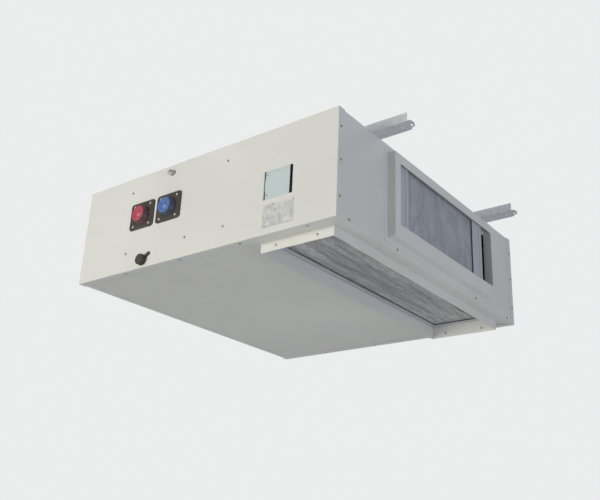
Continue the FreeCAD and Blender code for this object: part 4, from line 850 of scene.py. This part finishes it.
class FANCOIL_OT_stage(bpy.types.Operator):
    """Floor, studio light and the camera"""

    bl_idname = "fancoil.stage"
    bl_label = "Studio"

    def execute(self, context):
        scene = context.scene
        scene.view_settings.view_transform = "Standard"
        self.floor()
        self.world(scene)
        for settings in LAMPS:
            self.lamp(*settings)
        self.camera(scene)
        return {"FINISHED"}

    def floor(self):
        """A wide pale floor far below the unit, a little brighter to the camera."""
        start_clean()
        bpy.ops.mesh.primitive_plane_add(size=24, location=(0, 0, FLOOR_LEVEL))
        floor = bpy.context.object
        floor.name = "Floor"
        settle(floor)
        bpy.ops.object.mode_set(mode="EDIT")
        bpy.ops.mesh.select_all(action="SELECT")
        bpy.ops.mesh.subdivide(number_cuts=4)
        start_clean()
        material, tree, shader = new_finish("Pale floor", 0.8, level=0.2)
        clouds = noise(tree, object_place(tree), 1.4)
        tone = blend(tree, clouds, srgb(208, 208, 208), srgb(216, 216, 216))
        link_finish(tree, shader, tone)
        seen = add_node(tree, "ShaderNodeLightPath").outputs["Is Camera Ray"]
        tree.links.new(tone, shader.inputs["Emission Color"])
        tree.links.new(work_out(tree, "MULTIPLY", seen, 0.55), shader.inputs["Emission Strength"])
        floor.data.materials.append(material)

    def world(self, scene):
        """A cool dim sky that the camera sees as pale grey."""
        world = bpy.data.worlds.new("Studio")
        world.use_nodes = True
        tree = world.node_tree
        sky = tree.nodes["Background"]
        sky.inputs["Color"].default_value = (0.87, 0.92, 1.0, 1.0)
        sky.inputs["Strength"].default_value = 0.32
        inputs = {"Color": (0.93, 0.935, 0.94, 1.0), "Strength": 0.9}
        seen = add_node(tree, "ShaderNodeBackground", inputs)
        ray = add_node(tree, "ShaderNodeLightPath").outputs["Is Camera Ray"]
        mixed = add_node(tree, "ShaderNodeMixShader", {0: ray, 1: sky.outputs[0], 2: seen.outputs[0]})
        tree.links.new(mixed.outputs[0], tree.nodes["World Output"].inputs["Surface"])
        scene.world = world

    def lamp(self, name, place, size, power, colour):
        """A round area light that looks at the unit."""
        light = bpy.data.lights.new(name, "AREA")
        light.shape = "DISK"
        light.size = size
        light.energy = power
        light.color = colour
        holder = bpy.data.objects.new(name, light)
        holder.location = place
        holder.visible_camera = False
        holder.rotation_euler = (LIT_POINT - Vector(place)).to_track_quat("-Z", "Y").to_euler()
        bpy.context.scene.collection.objects.link(holder)

    def camera(self, scene):
        """The photo's camera."""
        lens = bpy.data.cameras.new("Camera")
        lens.sensor_fit = "HORIZONTAL"
        lens.sensor_width = 36
        lens.lens = LENS
        holder = bpy.data.objects.new("Camera", lens)
        columns = (Vector(CAMERA_RIGHT), -Vector(CAMERA_DOWN), -Vector(CAMERA_FORWARD))
        turn = Matrix(columns).transposed().to_4x4()
        holder.matrix_world = Matrix.Translation(CAMERA_PLACE) @ turn
        scene.collection.objects.link(holder)
        scene.camera = holder


class FANCOIL_OT_finishes(bpy.types.Operator):
    """Give each carried-over part its finish"""

    bl_idname = "fancoil.finishes"
    bl_label = "Finishes"

    def execute(self, context):
        for build in (paint_film_group, edge_wear_and_highlight_group, settled_dust_group, zinc_spangle_group,
                      drawn_lines_group, grit_group, knitted_wire_group, looks_outward_group):
            build()
        FINISHES.update(make_finishes())
        for entry in frame["record"]["subparts"]:
            node = NODES[entry["node"]]
            node.data.materials.clear()
            node.data.materials.append(FINISHES[entry["material_slot"]])
        NODES["rear_filter_mesh"].data.materials[0] = FINISHES["rear_mesh"]
        return {"FINISHED"}


class FANCOIL_OT_screw_heads(bpy.types.Operator):
    """Cross-headed screws of the casing, the pipe plates and the bottom collar"""

    bl_idname = "fancoil.screw_heads"
    bl_label = "Screw heads"

    def execute(self, context):
        screws_for("casing_screws", "casing_screw_heads")
        screws_for("flange_screws", "plate_screw_heads", "plate_screw")
        screws_for("collar_screws", "collar_screw_heads")
        return {"FINISHED"}


class FANCOIL_OT_pipe_caps(bpy.types.Operator):
    """Red and blue caps with grip ribs"""

    bl_idname = "fancoil.pipe_caps"
    bl_label = "Pipe caps"

    def execute(self, context):
        ribs = context.scene.fan_coil_sizes.cap_ribs
        face = 23.5 * MM
        for node, name, slot, body in (("red_cap", "flow_pipe_cap", "red_plastic", "flow_cap"),
                                       ("blue_cap", "return_pipe_cap", "blue_plastic", "return_cap")):
            centre, size = node_cap_place(node)
            cap = ribbed_cap(name, size.x / 2, face, size.y, PIPE_BORE, ribs, centre)
            hand_over(cap, slot, body, node)
        return {"FINISHED"}


class FANCOIL_OT_pipe_plates(bpy.types.Operator):
    """Rubber plates round the two water pipes"""

    bl_idname = "fancoil.pipe_plates"
    bl_label = "Pipe plates"

    def execute(self, context):
        for node, name in (("flow_flange", "flow_pipe_plate"), ("return_flange", "return_pipe_plate")):
            hand_over(pipe_plate(name, node, PIPE_BORE), "seal_rubber", "unit", node)
        return {"FINISHED"}


class FANCOIL_OT_drain_cap(bpy.types.Operator):
    """Rubber cap of the condensate outlet"""

    bl_idname = "fancoil.drain_cap"
    bl_label = "Condensate cap"

    def execute(self, context):
        cap = rubber_drain_cap("condensate_cap_rubber", 16 * MM, 9.4 * MM, math.radians(33))
        hand_over(cap, "seal_rubber", "condensate_cap", "drain_cap")
        return {"FINISHED"}


class FANCOIL_OT_air_vent(bpy.types.Operator):
    """Knurled collar of the air vent and its slotted screw"""

    bl_idname = "fancoil.air_vent"
    bl_label = "Air vent"

    def execute(self, context):
        centre, _ = node_cap_place("air_vent_screw")
        low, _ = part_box("service_panel")
        seat = Vector((centre.x, low.y, centre.z))
        collar = knurled_collar("air_vent_collar", 9 * MM, 12 * MM, 22)
        hand_over(carry_to(collar, facing(seat, -Y_AXIS)), "vent_metal", "unit", "air_vent_body")
        foot, top = 12.3 * MM, 16 * MM
        screw = round_piece("air_vent_bleed_screw", 5 * MM, top - foot, 40, foot)
        choose(screw, "EDGE", lambda first, last: min(first.z, last.z) > top - 0.1 * MM)
        bpy.ops.mesh.bevel(offset=0.6 * MM, segments=3)
        start_clean()
        cut_slot(screw, 8 * MM, 0.63 * MM, top - 2 * MM)
        smooth(screw)
        hand_over(carry_to(screw, facing(seat, -Y_AXIS)), "vent_metal", "bleed_screw", "air_vent_screw")
        return {"FINISHED"}


class FANCOIL_OT_flap_trim(bpy.types.Operator):
    """Raised border of the access flap, the strip beside its hinge, and its two small screws"""

    bl_idname = "fancoil.flap_trim"
    bl_label = "Flap trim"

    def execute(self, context):
        low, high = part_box("control_flap")
        front = low.y - 0.35 * MM
        lap = 1.9 * MM
        clear_of_hinge = 6.4 * MM
        outer = (low.x + clear_of_hinge, front - 0.5 * MM, low.z - lap)
        border = box_piece("flap_border", outer, (high.x, front, high.z + lap))
        margin = 4 * MM
        window = (low.x, front - 5 * MM, low.z + margin)
        combine(border, box_piece("window", window, (high.x - margin, front + 5 * MM, high.z - margin)))
        round_edges(border, 0.2 * MM)
        hand_over(border, "flap_plastic", "flap")
        panel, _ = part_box("service_panel")
        strip = box_piece("flap_hinge_strip", (low.x - 4.2 * MM, panel.y - 0.8 * MM, low.z - lap),
                          (low.x - 0.3 * MM, panel.y, high.z + lap))
        round_edges(strip, 0.25 * MM)
        hand_over(strip, "flap_plastic", "unit")
        places = []
        for height in (low.z + 10 * MM, high.z - 10 * MM):
            place = facing(Vector((low.x + 9 * MM, low.y, height)), -Y_AXIS)
            places.append(place @ Matrix.Scale(0.62, 4))
        heads = copies_of(model_screw_head(), "flap_screw_heads", places)
        hand_over(heads, "zinc_screw", "flap")
        return {"FINISHED"}


class FANCOIL_OT_hanger_rims(bpy.types.Operator):
    """Pressed rims round the four hanger holes of the rails"""

    bl_idname = "fancoil.hanger_rims"
    bl_label = "Hanger hole rims"

    def execute(self, context):
        from_tip, from_leg = 10 * MM, 26 * MM
        master = round_piece("hanger_hole_rim", 8 * MM, 3 * MM, 36, -0.5 * MM)
        combine(master, round_piece("bore", 4.9 * MM, 8 * MM, 36, -3 * MM))
        round_edges(master, 0.6 * MM)
        places = []
        for rail in ("hanger_rail_near", "hanger_rail_far"):
            low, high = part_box(rail)
            for x in (low.x + from_tip, high.x - from_tip):
                places.append(Matrix.Translation((x, low.y + from_leg, low.z)))
        hand_over(copies_of(master, "hanger_hole_rims", places), "galvanised", "unit")
        return {"FINISHED"}


class FANCOIL_OT_wire_grids(bpy.types.Operator):
    """Diamond wire grids on both faces of the two filters"""

    bl_idname = "fancoil.wire_grids"
    bl_label = "Filter grids"

    def execute(self, context):
        sizes = context.scene.fan_coil_sizes
        self.cover("bottom_filter", 2, 0, ("outer", "inner"), sizes)
        self.cover("rear_filter", 0, 2, ("inner", "outer"), sizes)
        return {"FINISHED"}

    def cover(self, body, thin_axis, across_axis, layers, sizes):
        """A grid on each flat side of one filter's pad."""
        low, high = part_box(body + "_mesh")
        levels = (low[thin_axis] - 1 * MM, high[thin_axis] + 1 * MM)
        for layer, level in zip(layers, levels):
            low[thin_axis] = high[thin_axis] = level
            grid = diamond_grid(f"{body}_{layer}_grid", low, high, across_axis,
                                sizes.wire, sizes.cell_length, sizes.cell_width)
            hand_over(grid, "filter_mesh", body, finish="zinc_screw")


class FANCOIL_OT_coil_fins(bpy.types.Operator):
    """The stack of thin fins between the coil plates"""

    bl_idname = "fancoil.coil_fins"
    bl_label = "Coil fins"

    def execute(self, context):
        pitch = context.scene.fan_coil_sizes.fin_pitch
        low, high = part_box("coil_fins")
        thick = 0.5 * MM
        start = Vector((low.x, low.y + thick, low.z))
        fin = box_piece("coil_fin_stack", start, (high.x, start.y + thick, high.z))
        bpy.ops.object.mode_set(mode="EDIT")
        bpy.ops.mesh.select_all(action="SELECT")
        bpy.ops.mesh.bisect(plane_co=((low.x + high.x) / 2, 0, 0), plane_no=(1, 0, 0))
        bpy.ops.transform.translate(value=(0, 0.5 * MM, 0))
        start_clean()
        modifier = fin.modifiers.new("Stack", "ARRAY")
        modifier.use_relative_offset = False
        modifier.use_constant_offset = True
        modifier.constant_offset_displace = (0, pitch, 0)
        modifier.count = int((high.y - low.y - 4 * thick) / pitch)
        apply_all(fin)
        hand_over(fin, "fins", "unit", "coil_fins")
        return {"FINISHED"}


class FANCOIL_OT_data_plate(bpy.types.Operator):
    """Blank plate with a sunk face on the service side"""

    bl_idname = "fancoil.data_plate"
    bl_label = "Blank plate"

    def execute(self, context):
        low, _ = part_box("service_panel")
        left, right, bottom, top = 714 * MM, 814 * MM, 18 * MM, 82 * MM
        corner = (low.x + left, low.y - 0.5 * MM, low.z + bottom)
        opposite = (low.x + right, low.y - 0.02 * MM, low.z + top)
        plate = box_piece("blank_data_plate", corner, opposite)
        choose(plate, "EDGE", lambda first, last: abs(first.y - last.y) > 0.3 * MM)
        bpy.ops.mesh.bevel(offset=2.5 * MM, segments=4)
        choose(plate, "FACE", lambda middle, normal: normal.y < -0.9)
        bpy.ops.mesh.inset(thickness=1.5 * MM, depth=0)
        bpy.ops.mesh.inset(thickness=0.3 * MM, depth=-0.2 * MM)
        start_clean()
        hand_over(plate, "filter_frame", "unit", finish="data_plate")
        return {"FINISHED"}


OPERATORS = (
    FANCOIL_OT_stage,
    FANCOIL_OT_finishes,
    FANCOIL_OT_screw_heads,
    FANCOIL_OT_pipe_plates,
    FANCOIL_OT_pipe_caps,
    FANCOIL_OT_drain_cap,
    FANCOIL_OT_air_vent,
    FANCOIL_OT_flap_trim,
    FANCOIL_OT_hanger_rims,
    FANCOIL_OT_wire_grids,
    FANCOIL_OT_coil_fins,
    FANCOIL_OT_data_plate,
)


class FANCOIL_PT_pieces(bpy.types.Panel):
    """Lists the pieces and their sizes and colours"""

    bl_idname = "FANCOIL_PT_pieces"
    bl_label = "Fan coil unit"
    bl_space_type = "VIEW_3D"
    bl_region_type = "UI"
    bl_category = "Fan coil"

    def draw(self, context):
        for operator in OPERATORS:
            self.layout.operator(operator.bl_idname)
        for values in (context.scene.fan_coil_sizes, context.scene.fan_coil_colours):
            for name in values.bl_rna.properties.keys():
                if name not in ("rna_type", "name"):
                    self.layout.prop(values, name)


CLASSES = (FanCoilSizes, FanCoilColours) + OPERATORS + (FANCOIL_PT_pieces,)


def register():
    for item in CLASSES:
        bpy.utils.register_class(item)
    bpy.types.Scene.fan_coil_sizes = bpy.props.PointerProperty(type=FanCoilSizes)
    bpy.types.Scene.fan_coil_colours = bpy.props.PointerProperty(type=FanCoilColours)


def unregister():
    del bpy.types.Scene.fan_coil_colours
    del bpy.types.Scene.fan_coil_sizes
    for item in reversed(CLASSES):
        bpy.utils.unregister_class(item)


def main():
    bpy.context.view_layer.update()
    register()
    for operator in OPERATORS:
        group, name = operator.bl_idname.split(".")
        getattr(getattr(bpy.ops, group), name)()
    start_clean()


if __name__ == "__main__":
    main()
